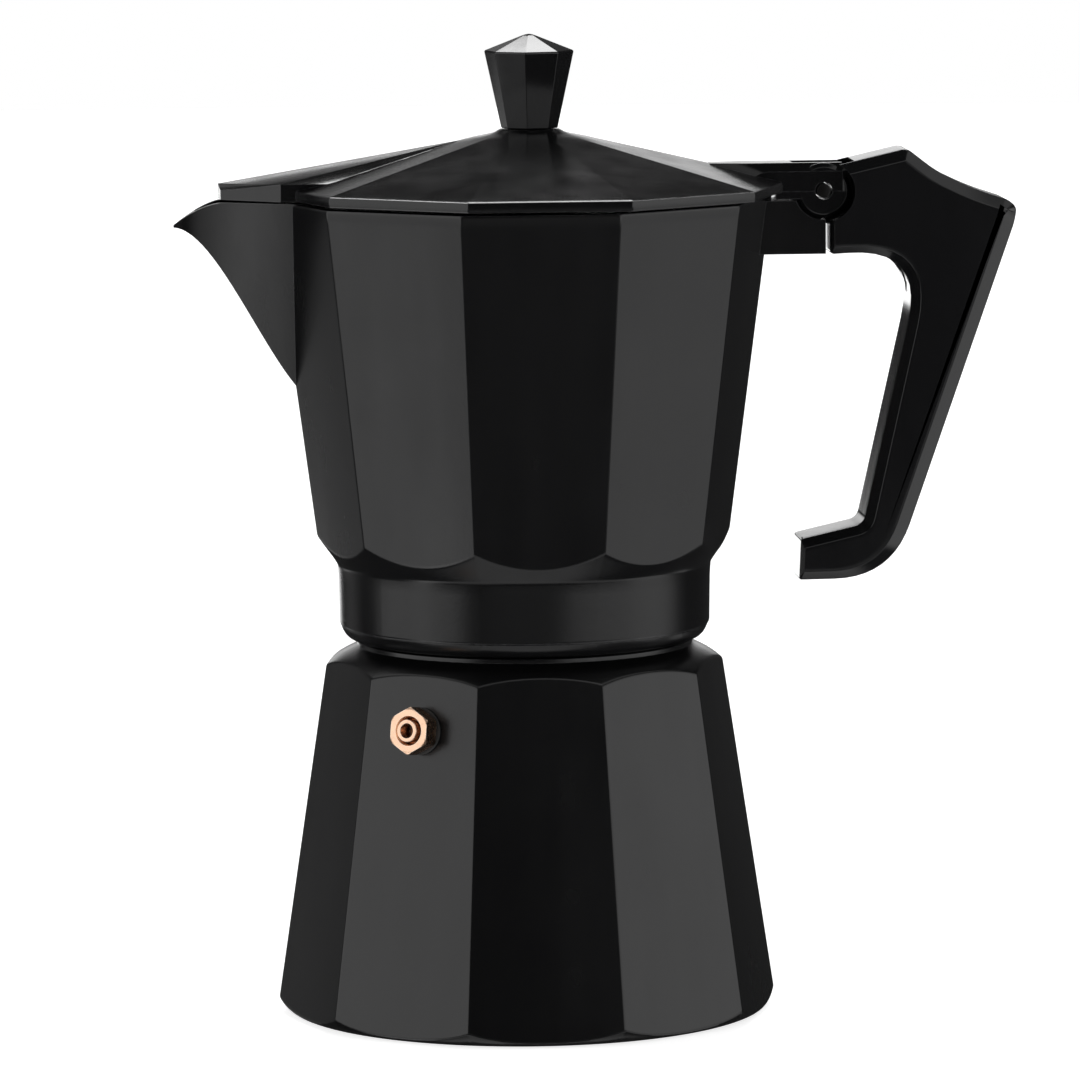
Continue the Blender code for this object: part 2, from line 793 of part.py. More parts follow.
def make_lid():
    lid = faceted(
        "lid",
        [
            (0, LID_NECK_Z),
            (LID_NECK_R, LID_NECK_Z),
            (LID_R, LID_RIM_Z),
            (LID_R, LID_BOTTOM_Z),
            (0, LID_BOTTOM_Z),
        ],
    )
    lid.location.x = LID_X * MM
    neck = turned(
        "lid_neck",
        [
            (0, 185.7),
            (6.2, 185.7),
            (7.2, 185.1),
            (9.0, 184.5),
            (11.6, 183.95),
            (14.5, 183.2),
            (14.5, 181),
            (0, 181),
        ],
    )
    neck.location.x = LID_X * MM
    combine(lid, neck, "UNION")
    combine(lid, hull("lid_beak", beak_points(0)), "UNION")
    combine(lid, hull("lid_arm", arm_points()), "UNION")
    pad_half = ARM_HALF_WIDTH - 0.15
    pad_corner = (COLLECTOR_TOP_R + GAP, -pad_half, BRACKET_TOP_Z + GAP)
    pad = box("arm_pad", pad_corner, (PIN_X, pad_half, PIN_Z + 1))
    combine(lid, pad, "UNION")
    rim, edge = ARM_HALF_WIDTH, KNUCKLE_CHAMFER
    knuckle = turned(
        "lid_knuckle",
        [
            (0, rim),
            (KNUCKLE_R - edge, rim),
            (KNUCKLE_R, rim - edge),
            (KNUCKLE_R, edge - rim),
            (KNUCKLE_R - edge, -rim),
            (0, -rim),
        ],
        FINE_STEPS,
    )
    knuckle.matrix_world = along_y(PIN_X, PIN_Z)
    combine(lid, knuckle, "UNION")
    inside = faceted(
        "lid_inside",
        [(0, 181.8), (9.5, 181.8), (51.2, LID_RIM_Z - 2.0), (51.2, 169), (0, 169)],
    )
    inside.location.x = LID_X * MM
    combine(lid, inside, "DIFFERENCE")
    combine(lid, hull("beak_hollow", beak_points(2.0)), "DIFFERENCE")
    slot_half = LUG_HALF_WIDTH + GAP
    combine(lid, box("knuckle_slot", (PIN_X - 6.3, -slot_half, 160), (75, slot_half, 185)), "DIFFERENCE")
    pin_hole = hole_cutter("knuckle_pin_hole", PIN_HOLE_R, -9, 9, along_y(PIN_X, PIN_Z))
    combine(lid, pin_hole, "DIFFERENCE")
    screw_place = Matrix.Translation(Vector((LID_X, 0, 0)) * MM)
    combine(lid, hole_cutter("lid_screw_hole", 2.0, 170, 190, screw_place), "DIFFERENCE")
    finish(lid, black_coating("lid"))


def make_knob():
    knob = turned(
        "knob",
        [
            (0, KNOB_TOP_Z),
            (KNOB_EDGE_R - 0.5, KNOB_EDGE_Z + 0.35),
            (KNOB_EDGE_R, KNOB_EDGE_Z - 0.2),
            (KNOB_LOW_R, KNOB_LOW_Z),
            (0, KNOB_LOW_Z),
        ],
        8,
        smooth=False,
    )
    knob.location.x = LID_X * MM
    knob.rotation_euler.z = KNOB_TURN
    screw_place = Matrix.Translation(Vector((LID_X, 0, 0)) * MM)
    combine(knob, hole_cutter("knob_screw_hole", 2.0, 180, 197, screw_place), "DIFFERENCE")
    finish(knob, bakelite("knob"))


def screw_profile(head_r, head_low, head_high, shank_r, end):
    """A pan-head screw pointing up: head below, shank above."""
    return [
        (0, end),
        (shank_r - 0.5, end),
        (shank_r, end - 0.6),
        (shank_r, head_high),
        (head_r, head_high),
        (head_r, head_low + 0.5),
        (head_r - 0.8, head_low),
        (0, head_low),
    ]


def slotted_screw(name, x, head_r, head_low, head_high, shank_r, end):
    screw = turned(name, screw_profile(head_r, head_low, head_high, shank_r, end), SMALL_STEPS)
    screw.location.x = x * MM
    slot = box(name + "_slot", (x - 0.4, -head_r - 1, head_low - 1), (x + 0.4, head_r + 1, head_low + 0.8))
    combine(screw, slot, "DIFFERENCE")
    finish(screw, steel(name))


def make_lid_fittings():
    slotted_screw("knob_screw", LID_X, 3.4, 178.6, 180.4, 1.7, 196.5)
    washer = turned("knob_washer", [(4.4, 181.5), (4.4, 180.7), (2.0, 180.7), (2.0, 181.5)], SMALL_STEPS)
    washer.location.x = LID_X * MM
    finish(washer, steel("knob_washer"))


def make_hinge_pin():
    half = ARM_HALF_WIDTH - 0.1
    profile = [(0, half), (PIN_R - 0.2, half), (PIN_R, half - 0.2), (PIN_R, 0.2 - half)]
    profile += [(PIN_R - 0.2, -half), (0, -half)]
    pin = turned("hinge_pin", profile, SMALL_STEPS)
    pin.matrix_world = along_y(PIN_X, PIN_Z)
    finish(pin, blackened_steel("hinge_pin"))


# --- Handle ---


def handle_corners():
    """Side view, clockwise from the thumb rest's peak: x, z, fillet, and the next edge's chamfer share."""
    return [
        (80.3, 180.9, 1.2, 1.0),
        (86.6, 176.0, 3.0, 1.0),
        (94.3, 172.3, 3.5, 1.0),
        (101.8, 169.8, 1.1, 1.0),
        (103.5, 168.2, 1.1, 1.2),
        (103.0, 165.2, 1.4, 1.3),
        (76.9, 90.7, 12.0, 0.8),
        (57.4, 90.5, 0.6, 0.3),
        (57.8, 99.2, 0.6, 0.8),
        (71.0, 102.2, 1.8, 0.8),
        (84.0, 160.0, 16.0, 0.7),
        (HANDLE_FRONT_X, 158.9, 1.1, 0.3),
        (HANDLE_FRONT_X, 177.2, 1.1, 1.0),
    ]


def inset_outline(corners, inset, steps):
    """The outline moved inwards by each edge's share, with a curve of equal point count at each corner."""
    outline = []
    for i, (x, z, size, share) in enumerate(corners):
        here = Vector((x, z))
        before = (here - Vector(corners[i - 1][:2])).normalized()
        after = (Vector(corners[(i + 1) % len(corners)][:2]) - here).normalized()
        deep_before, deep_after = inset * corners[i - 1][3], inset * share
        turning = before.angle_signed(after)
        corner = here + (after * deep_before - before * deep_after) / math.sin(turning)
        reach = max(size - (deep_before + deep_after) / 2 * math.tan(turning / 2), 0.15)
        start, end = corner - before * reach, corner + after * reach
        for step in range(steps + 1):
            t = step / steps
            outline.append(tuple(start * (1 - t) ** 2 + corner * 2 * t * (1 - t) + end * t**2))
    return outline


def chamfered_slab(name, corners, half_width, chamfer, steps):
    """A slab whose long edges on both faces are chamfered, made of sections across Y."""
    inner = half_width - chamfer
    places = [(-half_width, chamfer), (-inner, 0), (inner, 0), (half_width, chamfer)]
    sections = [[(x, y, z) for x, z in inset_outline(corners, inset, steps)] for y, inset in places]
    return loft(name, sections)


def make_handle():
    handle = chamfered_slab("handle", handle_corners(), HANDLE_HALF_WIDTH, HANDLE_CHAMFER, 4)
    past = HANDLE_HALF_WIDTH + 1
    hollow = turned("knuckle_hollow", [(0, past), (HOLLOW_R, past), (HOLLOW_R, -past), (0, -past)])
    hollow.matrix_world = along_y(PIN_X, PIN_Z)
    combine(handle, hollow, "DIFFERENCE")
    slot_half = ARM_HALF_WIDTH + GAP
    combine(handle, box("arm_slot", (58, -slot_half, 170.5), (ARM_SLOT_END_X, slot_half, 186)), "DIFFERENCE")
    sweep_r = math.hypot(ARM_END_X - PIN_X, KNUCKLE_R) + GAP
    sweep_profile = [(0, slot_half), (sweep_r, slot_half), (sweep_r, -slot_half), (0, -slot_half)]
    sweep = turned("arm_sweep", sweep_profile)
    sweep.matrix_world = along_y(PIN_X, PIN_Z)
    combine(handle, sweep, "DIFFERENCE")
    pocket_half = LUG_HALF_WIDTH + GAP
    pocket = box(
        "tongue_pocket",
        (58, -pocket_half, TONGUE_LOW_Z - GAP),
        (TONGUE_END_X + GAP, pocket_half, TONGUE_TOP_Z + GAP),
    )
    combine(handle, pocket, "DIFFERENCE")
    place = Matrix.Translation(Vector((SCREW_X, 0, 0)) * MM)
    combine(handle, hole_cutter("handle_screw_hole", 1.9, 150, 170, place), "DIFFERENCE")
    combine(handle, hole_cutter("handle_counterbore", 3.6, 150, 162.0, place), "DIFFERENCE")
    finish(handle, bakelite("handle"))
    slotted_screw("handle_screw", SCREW_X, 3.2, 160.0, 161.7, 1.6, 175.6)


make_boiler()
make_valve()
make_funnel()
make_filters()
make_gasket()
make_collector()
make_riser_column()
make_lid()
make_knob()
make_lid_fittings()
make_hinge_pin()
make_handle()
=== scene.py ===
"""Moka pot, closed and standing on a pale floor, seen from slightly above its spout side.

Lengths are in millimetres and become metres through MM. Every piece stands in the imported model's frame.
"""

import json
import math

import bmesh
import bpy
from mathutils import Matrix, Vector


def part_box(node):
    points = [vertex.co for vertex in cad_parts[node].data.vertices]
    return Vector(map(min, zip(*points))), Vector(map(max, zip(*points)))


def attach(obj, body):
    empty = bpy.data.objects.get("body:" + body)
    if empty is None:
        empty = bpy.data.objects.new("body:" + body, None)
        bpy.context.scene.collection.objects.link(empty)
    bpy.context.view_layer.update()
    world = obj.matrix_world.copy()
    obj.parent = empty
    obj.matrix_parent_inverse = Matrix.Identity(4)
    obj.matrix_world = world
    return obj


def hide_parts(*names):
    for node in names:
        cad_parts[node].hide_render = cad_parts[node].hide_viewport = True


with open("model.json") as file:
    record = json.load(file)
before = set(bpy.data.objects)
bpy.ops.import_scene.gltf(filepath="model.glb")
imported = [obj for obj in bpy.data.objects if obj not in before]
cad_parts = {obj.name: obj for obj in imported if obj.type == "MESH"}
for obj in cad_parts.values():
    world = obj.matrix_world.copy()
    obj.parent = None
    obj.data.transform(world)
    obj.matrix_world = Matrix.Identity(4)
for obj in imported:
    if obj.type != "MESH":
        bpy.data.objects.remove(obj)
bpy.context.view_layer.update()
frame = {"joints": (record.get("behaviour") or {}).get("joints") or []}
MM = 0.001


def low(node, axis):
    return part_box(node)[0]["xyz".index(axis)] / MM


def high(node, axis):
    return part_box(node)[1]["xyz".index(axis)] / MM


def joint(name):
    return next(j for j in frame["joints"] if j["name"] == name)


# The two chambers have ten flat sides, with a corner towards the handle and one towards the spout.
SIDES = 10
FLAT = math.cos(math.pi / SIDES)

RIM_Z = high("boiler", "z")
FOOT_Z, FOOT_R = 2.8, high("boiler", "x")
SHOULDER_Z, SHOULDER_R = 73.8, 41.8
BOILER_SLOPE = (FOOT_R - SHOULDER_R) / (SHOULDER_Z - FOOT_Z)
MOUTH_R = 29.5
NECK_R, THREAD_R, THREAD_DEPTH, THREAD_PITCH = 35.2, 33.0, 0.75, 2.0

SKIRT_Z = low("collector", "z")
TOP_Z, TOP_R = 171.4, 52.69
CONE_Z, CONE_R = 99.2, 43.24
COLLECTOR_SLOPE = (TOP_R - CONE_R) / (TOP_Z - CONE_Z)
FLOOR_Z = 98.6
SEAT_Z = high("gasket", "z") + 0.3
SKIRT_BORE_R = 34.3
TIP_X = low("collector", "x")
SPOUT_ROOT_X, SPOUT_ROOT_HALF_WIDTH = -48.3, 13.6
SPOUT_CURL_X, SPOUT_CURL_DROP = -62.0, 5.0
KEEL = ((-46.9, 131.7), (-55.0, 141.0), (-64.5, 165.5), (TIP_X, 165.9))
BRACKET_END_X, FRONT_X = 63.3, 64.1

PIN_X, PIN_Z = joint("lid_hinge")["pos_m"][0] / MM, joint("lid_hinge")["pos_m"][2] / MM
KNUCKLE_R = 5.8
ARM_HALF_WIDTH, LUG_HALF_WIDTH = 5.8, 2.5
ARM_END_X = 66.9
LID_X = 1.8
LID_R, LID_BOTTOM_Z, LID_RIM_Z = 54.2, TOP_Z + 0.5, 174.1
LID_NECK_R, LID_NECK_Z = 10.9, 184.2


# --- Building helpers ---


def link(name, mesh):
    obj = bpy.data.objects.new(name, mesh)
    bpy.context.scene.collection.objects.link(obj)
    return obj


def rounded_polygon(sides, rounding, corner_steps, side_steps, crown=0.0):
    """(angle, reach) pairs round a polygon with softened corners. A sharp corner's reach would be 1.

    The crown is how far the middle of each side bows out, as a share of the reach.
    """
    half = math.pi / sides
    centre = 1 - rounding / math.cos(half)
    spread = math.atan2(rounding * math.sin(half), centre + rounding * math.cos(half))
    ring = []
    for corner in range(sides):
        middle = 2 * half * corner
        for i in range(corner_steps + 1):
            turn = spread * (2 * i / corner_steps - 1)
            reach = centre * math.cos(turn) + math.sqrt(rounding**2 - (centre * math.sin(turn)) ** 2)
            ring.append((middle + turn, reach))
        for i in range(1, side_steps):
            turn = spread + 2 * (half - spread) * i / side_steps
            across = (turn - half) / (half - spread)
            ring.append((middle + turn, math.cos(half) / math.cos(turn - half) + crown * (1 - across**2)))
    return ring


def circle(steps):
    return [(2 * math.pi * i / steps, 1.0) for i in range(steps)]


def soften(corners, steps=4):
    """A path through (x, z, size) corners, each replaced by a short curve that starts size before it."""
    path = []
    for i, (x, z, size) in enumerate(corners):
        here = Vector((x, z))
        if size == 0 or i in (0, len(corners) - 1):
            path.append((x, z))
            continue
        before, after = Vector(corners[i - 1][:2]) - here, Vector(corners[i + 1][:2]) - here
        start = here + before.normalized() * min(size, before.length * 0.48)
        end = here + after.normalized() * min(size, after.length * 0.48)
        for step in range(steps + 1):
            t = step / steps
            path.append(tuple(start * (1 - t) ** 2 + here * 2 * t * (1 - t) + end * t**2))
    return path


def soften_loop(corners, steps=4):
    looped = [corners[-1], *corners, corners[0]]
    return soften(looped, steps)[1:-1]


def bezier(a, b, c, d, steps):
    points = []
    for i in range(steps + 1):
        t = i / steps
        weights = ((1 - t) ** 3, 3 * t * (1 - t) ** 2, 3 * t * t * (1 - t), t**3)
        points.append(tuple(sum(w * p[k] for w, p in zip(weights, (a, b, c, d))) for k in range(2)))
    return points


def cut_at(curve, outside, steps):
    """The curve up to where it first gets outside, as a set number of evenly spread points."""
    kept = [curve[0]]
    for a, b in zip(curve, curve[1:]):
        if outside(b) > 0:
            share = outside(a) / (outside(a) - outside(b))
            kept.append((a[0] + (b[0] - a[0]) * share, a[1] + (b[1] - a[1]) * share))
            break
        kept.append(b)
    lengths = [math.dist(a, b) for a, b in zip(kept, kept[1:])]
    total, result = sum(lengths), []
    for i in range(steps + 1):
        left, k = total * i / steps, 0
        while k < len(lengths) - 1 and left > lengths[k]:
            left -= lengths[k]
            k += 1
        share = min(left / lengths[k], 1.0)
        a, b = kept[k], kept[k + 1]
        result.append((a[0] + (b[0] - a[0]) * share, a[1] + (b[1] - a[1]) * share))
    return result


def swept(name, ring, path_of):
    """A closed skin: path_of(reach, angle) gives the (radius, height) path at each place round the ring."""
    shape = bmesh.new()
    paths = [path_of(reach, angle) for angle, reach in ring]
    count = len(paths[0])
    grid = [[None] * len(ring) for _ in range(count)]
    for row in range(count):
        if paths[0][row][0] == 0:
            pole = shape.verts.new((0, 0, paths[0][row][1] * MM))
            grid[row] = [pole] * len(ring)
            continue
        for column, (angle, _) in enumerate(ring):
            radius, height = paths[column][row]
            place = (radius * math.cos(angle), radius * math.sin(angle), height)
            grid[row][column] = shape.verts.new(Vector(place) * MM)
    rows = list(range(count))
    if paths[0][0][0] > 0:
        rows.append(0)
    for upper, lower in zip(rows, rows[1:]):
        for column in range(len(ring)):
            beside = (column + 1) % len(ring)
            corners = [grid[upper][column], grid[upper][beside], grid[lower][beside], grid[lower][column]]
            corners = [v for i, v in enumerate(corners) if v is not corners[i - 1]]
            if len(corners) > 2:
                shape.faces.new(corners)
    bmesh.ops.recalc_face_normals(shape, faces=shape.faces)
    mesh = bpy.data.meshes.new(name)
    shape.to_mesh(mesh)
    shape.free()
    return link(name, mesh)


def turned(name, corners, steps=96, fillet_steps=3):
    """A round piece from (radius, height, fillet) corners."""
    path = soften(corners, fillet_steps)
    return swept(name, circle(steps), lambda reach, angle: path)


def turned_ring(name, corners, steps=96):
    path = soften_loop(corners, 3)
    return swept(name, circle(steps), lambda reach, angle: path)


def box(name, low_corner, high_corner):
    shape = bmesh.new()
    bmesh.ops.create_cube(shape, size=1.0)
    bmesh.ops.scale(shape, vec=[(b - a) * MM for a, b in zip(low_corner, high_corner)], verts=shape.verts)
    middle = [(a + b) / 2 * MM for a, b in zip(low_corner, high_corner)]
    bmesh.ops.translate(shape, vec=middle, verts=shape.verts)
    mesh = bpy.data.meshes.new(name)
    shape.to_mesh(mesh)
    shape.free()
    return link(name, mesh)


def hull(name, points):
    shape = bmesh.new()
    for point in points:
        shape.verts.new(Vector(point) * MM)
    result = bmesh.ops.convex_hull(shape, input=shape.verts)
    loose = list({v for v in result["geom_interior"] if isinstance(v, bmesh.types.BMVert)})
    bmesh.ops.delete(shape, geom=loose, context="VERTS")
    bmesh.ops.dissolve_limit(shape, angle_limit=0.01, verts=shape.verts, edges=shape.edges)
    bmesh.ops.recalc_face_normals(shape, faces=shape.faces)
    mesh = bpy.data.meshes.new(name)
    shape.to_mesh(mesh)
    shape.free()
    return link(name, mesh)


def mirrored(points):
    return list(points) + [(x, -y, z) for x, y, z in points]


def slab(name, outline, half_width):
    """An outline of (x, z) points, extruded half_width each way along Y."""
    shape = bmesh.new()
    near = [shape.verts.new(Vector((x, -half_width, z)) * MM) for x, z in outline]
    far = [shape.verts.new(Vector((x, half_width, z)) * MM) for x, z in outline]
    shape.faces.new(near)
    shape.faces.new(far)
    for i in range(len(outline)):
        j = (i + 1) % len(outline)
        shape.faces.new((near[i], near[j], far[j], far[i]))
    bmesh.ops.recalc_face_normals(shape, faces=shape.faces)
    mesh = bpy.data.meshes.new(name)
    shape.to_mesh(mesh)
    shape.free()
    return link(name, mesh)


def loft(name, sections):
    shape = bmesh.new()
    rings = [[shape.verts.new(Vector(point) * MM) for point in section] for section in sections]
    for first, second in zip(rings, rings[1:]):
        for i in range(len(first)):
            j = (i + 1) % len(first)
            shape.faces.new((first[i], first[j], second[j], second[i]))
    shape.faces.new(rings[0])
    shape.faces.new(rings[-1])
    bmesh.ops.recalc_face_normals(shape, faces=shape.faces)
    mesh = bpy.data.meshes.new(name)
    shape.to_mesh(mesh)
    shape.free()
    return link(name, mesh)


def arc(centre, radius, start, end, count):
    angles = [math.radians(start + (end - start) * i / (count - 1)) for i in range(count)]
    return [(centre[0] + radius * math.cos(a), centre[1] + radius * math.sin(a)) for a in angles]


def place(obj, matrix):
    obj.data.transform(matrix)
    return obj


def along_y(x, z):
    return Matrix.Translation(Vector((x, 0, z)) * MM) @ Matrix.Rotation(-math.pi / 2, 4, "X")


def shift_x(x):
    return Matrix.Translation(Vector((x, 0, 0)) * MM)


def cylinder(name, radius, low_z, high_z, matrix=None, steps=48):
    corners = [(0, high_z, 0), (radius, high_z, 0), (radius, low_z, 0), (0, low_z, 0)]
    obj = turned(name, corners, steps)
    return place(obj, matrix) if matrix is not None else obj


def combine(obj, other, operation):
    """Joins or cuts with a helper, applies it, and removes the helper."""
    modifier = obj.modifiers.new("Join", "BOOLEAN")
    modifier.operation = operation
    modifier.solver = "EXACT"
    modifier.object = other
    bake(obj)
    bpy.data.objects.remove(other, do_unlink=True)
    return obj


def bake(obj):
    """Applies the object's modifiers to its mesh."""
    bpy.context.view_layer.update()
    mesh = bpy.data.meshes.new_from_object(obj.evaluated_get(bpy.context.evaluated_depsgraph_get()))
    obj.modifiers.clear()
    obj.data = mesh
    return obj


def round_edges(obj, width, segments=3, angle=35):
    modifier = obj.modifiers.new("Edges", "BEVEL")
    modifier.width = width * MM
    modifier.segments = segments
    modifier.limit_method = "ANGLE"
    modifier.angle_limit = math.radians(angle)
    modifier.use_clamp_overlap = True
    return bake(obj)


def finish(obj, material, body, *nodes, sharp=28):
    """Shades a piece, gives it its material, hides the CAD nodes it stands in for, and ties it to its body.
    """
    obj.data.materials.clear()
    obj.data.materials.append(material)
    obj.data.shade_smooth()
    obj.data.set_sharp_from_angle(angle=math.radians(sharp))
    obj.modifiers.new("Normals", "WEIGHTED_NORMAL").keep_sharp = True
    bake(obj)
    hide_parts(*nodes)
    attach(obj, body)
    return obj


# --- Materials ---


class Nodes:
    """A material's node tree, with short calls for the nodes used here."""

    def __init__(self, name):
        self.material = bpy.data.materials.new(name)
        self.material.use_nodes = True
        self.tree = self.material.node_tree
        self.shader = self.tree.nodes["Principled BSDF"]
        coordinates = self.tree.nodes.new("ShaderNodeTexCoord")
        self.position = coordinates.outputs["Object"]

    def link(self, output, target):
        self.tree.links.new(output, target)

    def set(self, **values):
        for name, value in values.items():
            self.shader.inputs[name.replace("_", " ")].default_value = value

    def noise(self, scale, detail=3.0, roughness=0.5, stretch=None):
        node = self.tree.nodes.new("ShaderNodeTexNoise")
        node.inputs["Scale"].default_value = scale
        node.inputs["Detail"].default_value = detail
        node.inputs["Roughness"].default_value = roughness
        vector = self.position
        if stretch:
            mapping = self.tree.nodes.new("ShaderNodeMapping")
            mapping.inputs["Scale"].default_value = stretch
            self.link(self.position, mapping.inputs["Vector"])
            vector = mapping.outputs["Vector"]
        self.link(vector, node.inputs["Vector"])
        return node.outputs["Fac"]

    def spread(self, value, low_in, high_in, low_out, high_out):
        node = self.tree.nodes.new("ShaderNodeMapRange")
        self.link(value, node.inputs["Value"])
        names = ("From Min", "From Max", "To Min", "To Max")
        for name, number in zip(names, (low_in, high_in, low_out, high_out)):
            node.inputs[name].default_value = number
        return node.outputs["Result"]

    def math(self, operation, a, b):
        node = self.tree.nodes.new("ShaderNodeMath")
        node.operation = operation
        for socket, value in zip(node.inputs, (a, b)):
            if isinstance(value, (int, float)):
                socket.default_value = value
            else:
                self.link(value, socket)
        return node.outputs["Value"]

    def colour(self, factor, first, second):
        node = self.tree.nodes.new("ShaderNodeMix")
        node.data_type = "RGBA"
        self.link(factor, node.inputs["Factor"])
        node.inputs[6].default_value = (*first, 1)
        node.inputs[7].default_value = (*second, 1)
        self.link(node.outputs[2], self.shader.inputs["Base Color"])

    def rough(self, value):
        self.link(value, self.shader.inputs["Roughness"])

    def bump(self, height, distance, strength=1.0, after=None):
        node = self.tree.nodes.new("ShaderNodeBump")
        node.inputs["Distance"].default_value = distance * MM
        node.inputs["Strength"].default_value = strength
        self.link(height, node.inputs["Height"])
        if after is not None:
            self.link(after, node.inputs["Normal"])
        self.link(node.outputs["Normal"], self.shader.inputs["Normal"])
        return node.outputs["Normal"]

    def blend(self, factor, name, value):
        """Takes a shader input to the value wherever the factor is 1."""
        target = self.shader.inputs[name]
        node = self.tree.nodes.new("ShaderNodeMix")
        first, output = (2, 0)
        if target.type == "RGBA":
            node.data_type = "RGBA"
            first, output = (6, 2)
        self.link(factor, node.inputs["Factor"])
        if target.is_linked:
            self.link(target.links[0].from_socket, node.inputs[first])
        else:
            node.inputs[first].default_value = target.default_value
        node.inputs[first + 1].default_value = value
        self.link(node.outputs[output], target)

    def reach(self):
        """Distance from the pot's axis, and height, in metres."""
        split = self.tree.nodes.new("ShaderNodeSeparateXYZ")
        self.link(self.position, split.inputs["Vector"])
        x, y, z = split.outputs
        squares = self.math("ADD", self.math("MULTIPLY", x, x), self.math("MULTIPLY", y, y))
        return self.math("SQRT", squares, 0.0), z

    def inside_cone(self, radius, slope, low_z, high_z):
        """1 where the distance from the axis is under radius + slope * height, between two heights in mm."""
        reach, z = self.reach()
        edge = self.math("ADD", self.math("MULTIPLY", z, slope), radius * MM)
        near = self.math("LESS_THAN", reach, edge)
        over, under = self.math("GREATER_THAN", z, low_z * MM), self.math("LESS_THAN", z, high_z * MM)
        level = self.math("MULTIPLY", over, under)
        return self.math("MULTIPLY", near, level)

    def bare(self, inside):
        """Leaves the coating off where inside is 1: dull, unevenly oxidised cast aluminium."""
        self.blend(inside, "Base Color", (0.62, 0.62, 0.63, 1))
        self.blend(inside, "Metallic", 1.0)
        self.blend(inside, "Roughness", 0.42)

    def edges(self, radius):
        """1 on edges, 0 on flat stretches: edges that hands and cloths wear, and that some materials here
        lighten as a painted highlight.
        """
        bevel = self.tree.nodes.new("ShaderNodeBevel")
        bevel.samples = 4
        bevel.inputs["Radius"].default_value = radius * MM
        geometry = self.tree.nodes.new("ShaderNodeNewGeometry")
        dot = self.tree.nodes.new("ShaderNodeVectorMath")
        dot.operation = "DOT_PRODUCT"
        self.link(bevel.outputs["Normal"], dot.inputs[0])
        self.link(geometry.outputs["Normal"], dot.inputs[1])
        return self.spread(dot.outputs["Value"], 0.995, 0.93, 0.0, 1.0)

    def rings(self, scale, distortion=0.0):
        """Fine circular tool marks round the pot's axis."""
        node = self.tree.nodes.new("ShaderNodeTexWave")
        node.wave_type = "RINGS"
        node.rings_direction = "Z"
        node.inputs["Scale"].default_value = scale
        node.inputs["Distortion"].default_value = distortion
        node.inputs["Detail"].default_value = 2.0
        self.link(self.position, node.inputs["Vector"])
        return node.outputs["Fac"]


def black_coating(name, shine, *cones):
    """Satin black coating on cast aluminium: faint orange peel, faint wiping marks, greyer on the edges,
    partly from wear and partly as a painted highlight along the ridges and rims.

    Each cone holds a stretch of the inside, which is left bare.
    """
    m = Nodes(name)
    # Lighter edges: partly worn coating, partly a painted highlight along the ridges and rims.
    lighter_edges = m.math("MULTIPLY", m.edges(0.35), m.spread(m.noise(900, 4), 0.35, 0.65, 0.2, 1.0))
    m.colour(lighter_edges, (0.0032, 0.0032, 0.0035), (0.04, 0.04, 0.042))
    smudges = m.spread(m.noise(28, 4, 0.6), 0.3, 0.7, 0.20 - shine, 0.27 - shine)
    streaks = m.spread(m.noise(160, 2, 0.5, (1, 1, 0.08)), 0.35, 0.65, -0.015, 0.02)
    m.rough(m.math("ADD", smudges, streaks))
    peel = m.bump(m.noise(1600, 2), 0.012)
    m.bump(m.noise(110, 2), 0.05, 0.5, peel)
    m.set(IOR=1.5)
    inside = 0.0
    for cone in cones:
        inside = m.math("MAXIMUM", m.inside_cone(*cone), inside)
    m.bare(inside)
    return m.material


def bakelite(name):
    """Glossy black phenolic, with faint flow marks and fine scratches."""
    m = Nodes(name)
    # Lighter edges where handling wears the phenolic.
    lighter_edges = m.math("MULTIPLY", m.edges(0.3), 0.6)
    m.colour(lighter_edges, (0.005, 0.005, 0.0055), (0.022, 0.022, 0.023))
    flow = m.spread(m.noise(60, 5, 0.65, (1, 1, 0.35)), 0.3, 0.7, 0.08, 0.16)
    m.rough(flow)
    ripple = m.bump(m.noise(90, 2), 0.035, 0.6)
    m.bump(m.noise(2600, 2, 0.5, (1, 0.15, 1)), 0.004, 0.6, ripple)
    m.set(IOR=1.55)
    return m.material


def bare_aluminium(name, ring_scale=420.0):
    """Turned or spun aluminium with circular tool marks and a dull, uneven oxide."""
    m = Nodes(name)
    patches = m.spread(m.noise(90, 5, 0.6), 0.3, 0.7, 0.0, 1.0)
    m.colour(patches, (0.60, 0.60, 0.61), (0.76, 0.76, 0.77))
    m.rough(m.spread(m.noise(300, 3), 0.3, 0.7, 0.28, 0.45))
    m.bump(m.rings(ring_scale, 0.4), 0.02, 0.5)
    m.set(Metallic=1.0)
    return m.material


def steel(name):
    m = Nodes(name)
    m.colour(m.spread(m.noise(700, 3), 0.3, 0.7, 0.0, 1.0), (0.50, 0.50, 0.51), (0.64, 0.64, 0.65))
    m.rough(m.spread(m.noise(900, 3), 0.3, 0.7, 0.2, 0.34))
    m.bump(m.noise(2200, 2, 0.5, (1, 1, 0.1)), 0.006, 0.5)
    m.set(Metallic=1.0)
    return m.material


def blackened_steel(name):
    """Oil-blackened pin stock, rubbed brighter on its end rims."""
    m = Nodes(name)
    m.colour(m.edges(0.2), (0.035, 0.034, 0.033), (0.16, 0.16, 0.16))
    m.rough(m.spread(m.noise(900, 3), 0.3, 0.7, 0.3, 0.45))
    m.bump(m.noise(1800, 2), 0.006, 0.5)
    m.set(Metallic=1.0)
    return m.material


def copper_plate(name):
    """Copper-coloured plating, paler and brighter on the edges as a painted highlight."""
    m = Nodes(name)
    # Paler edges: a painted highlight on the hexagon's corners and rims.
    m.colour(m.edges(0.25), (0.86, 0.57, 0.40), (0.97, 0.80, 0.66))
    m.rough(m.spread(m.noise(900, 4), 0.3, 0.7, 0.18, 0.34))
    m.bump(m.noise(1500, 3), 0.012, 0.6)
    m.set(Metallic=1.0)
    return m.material


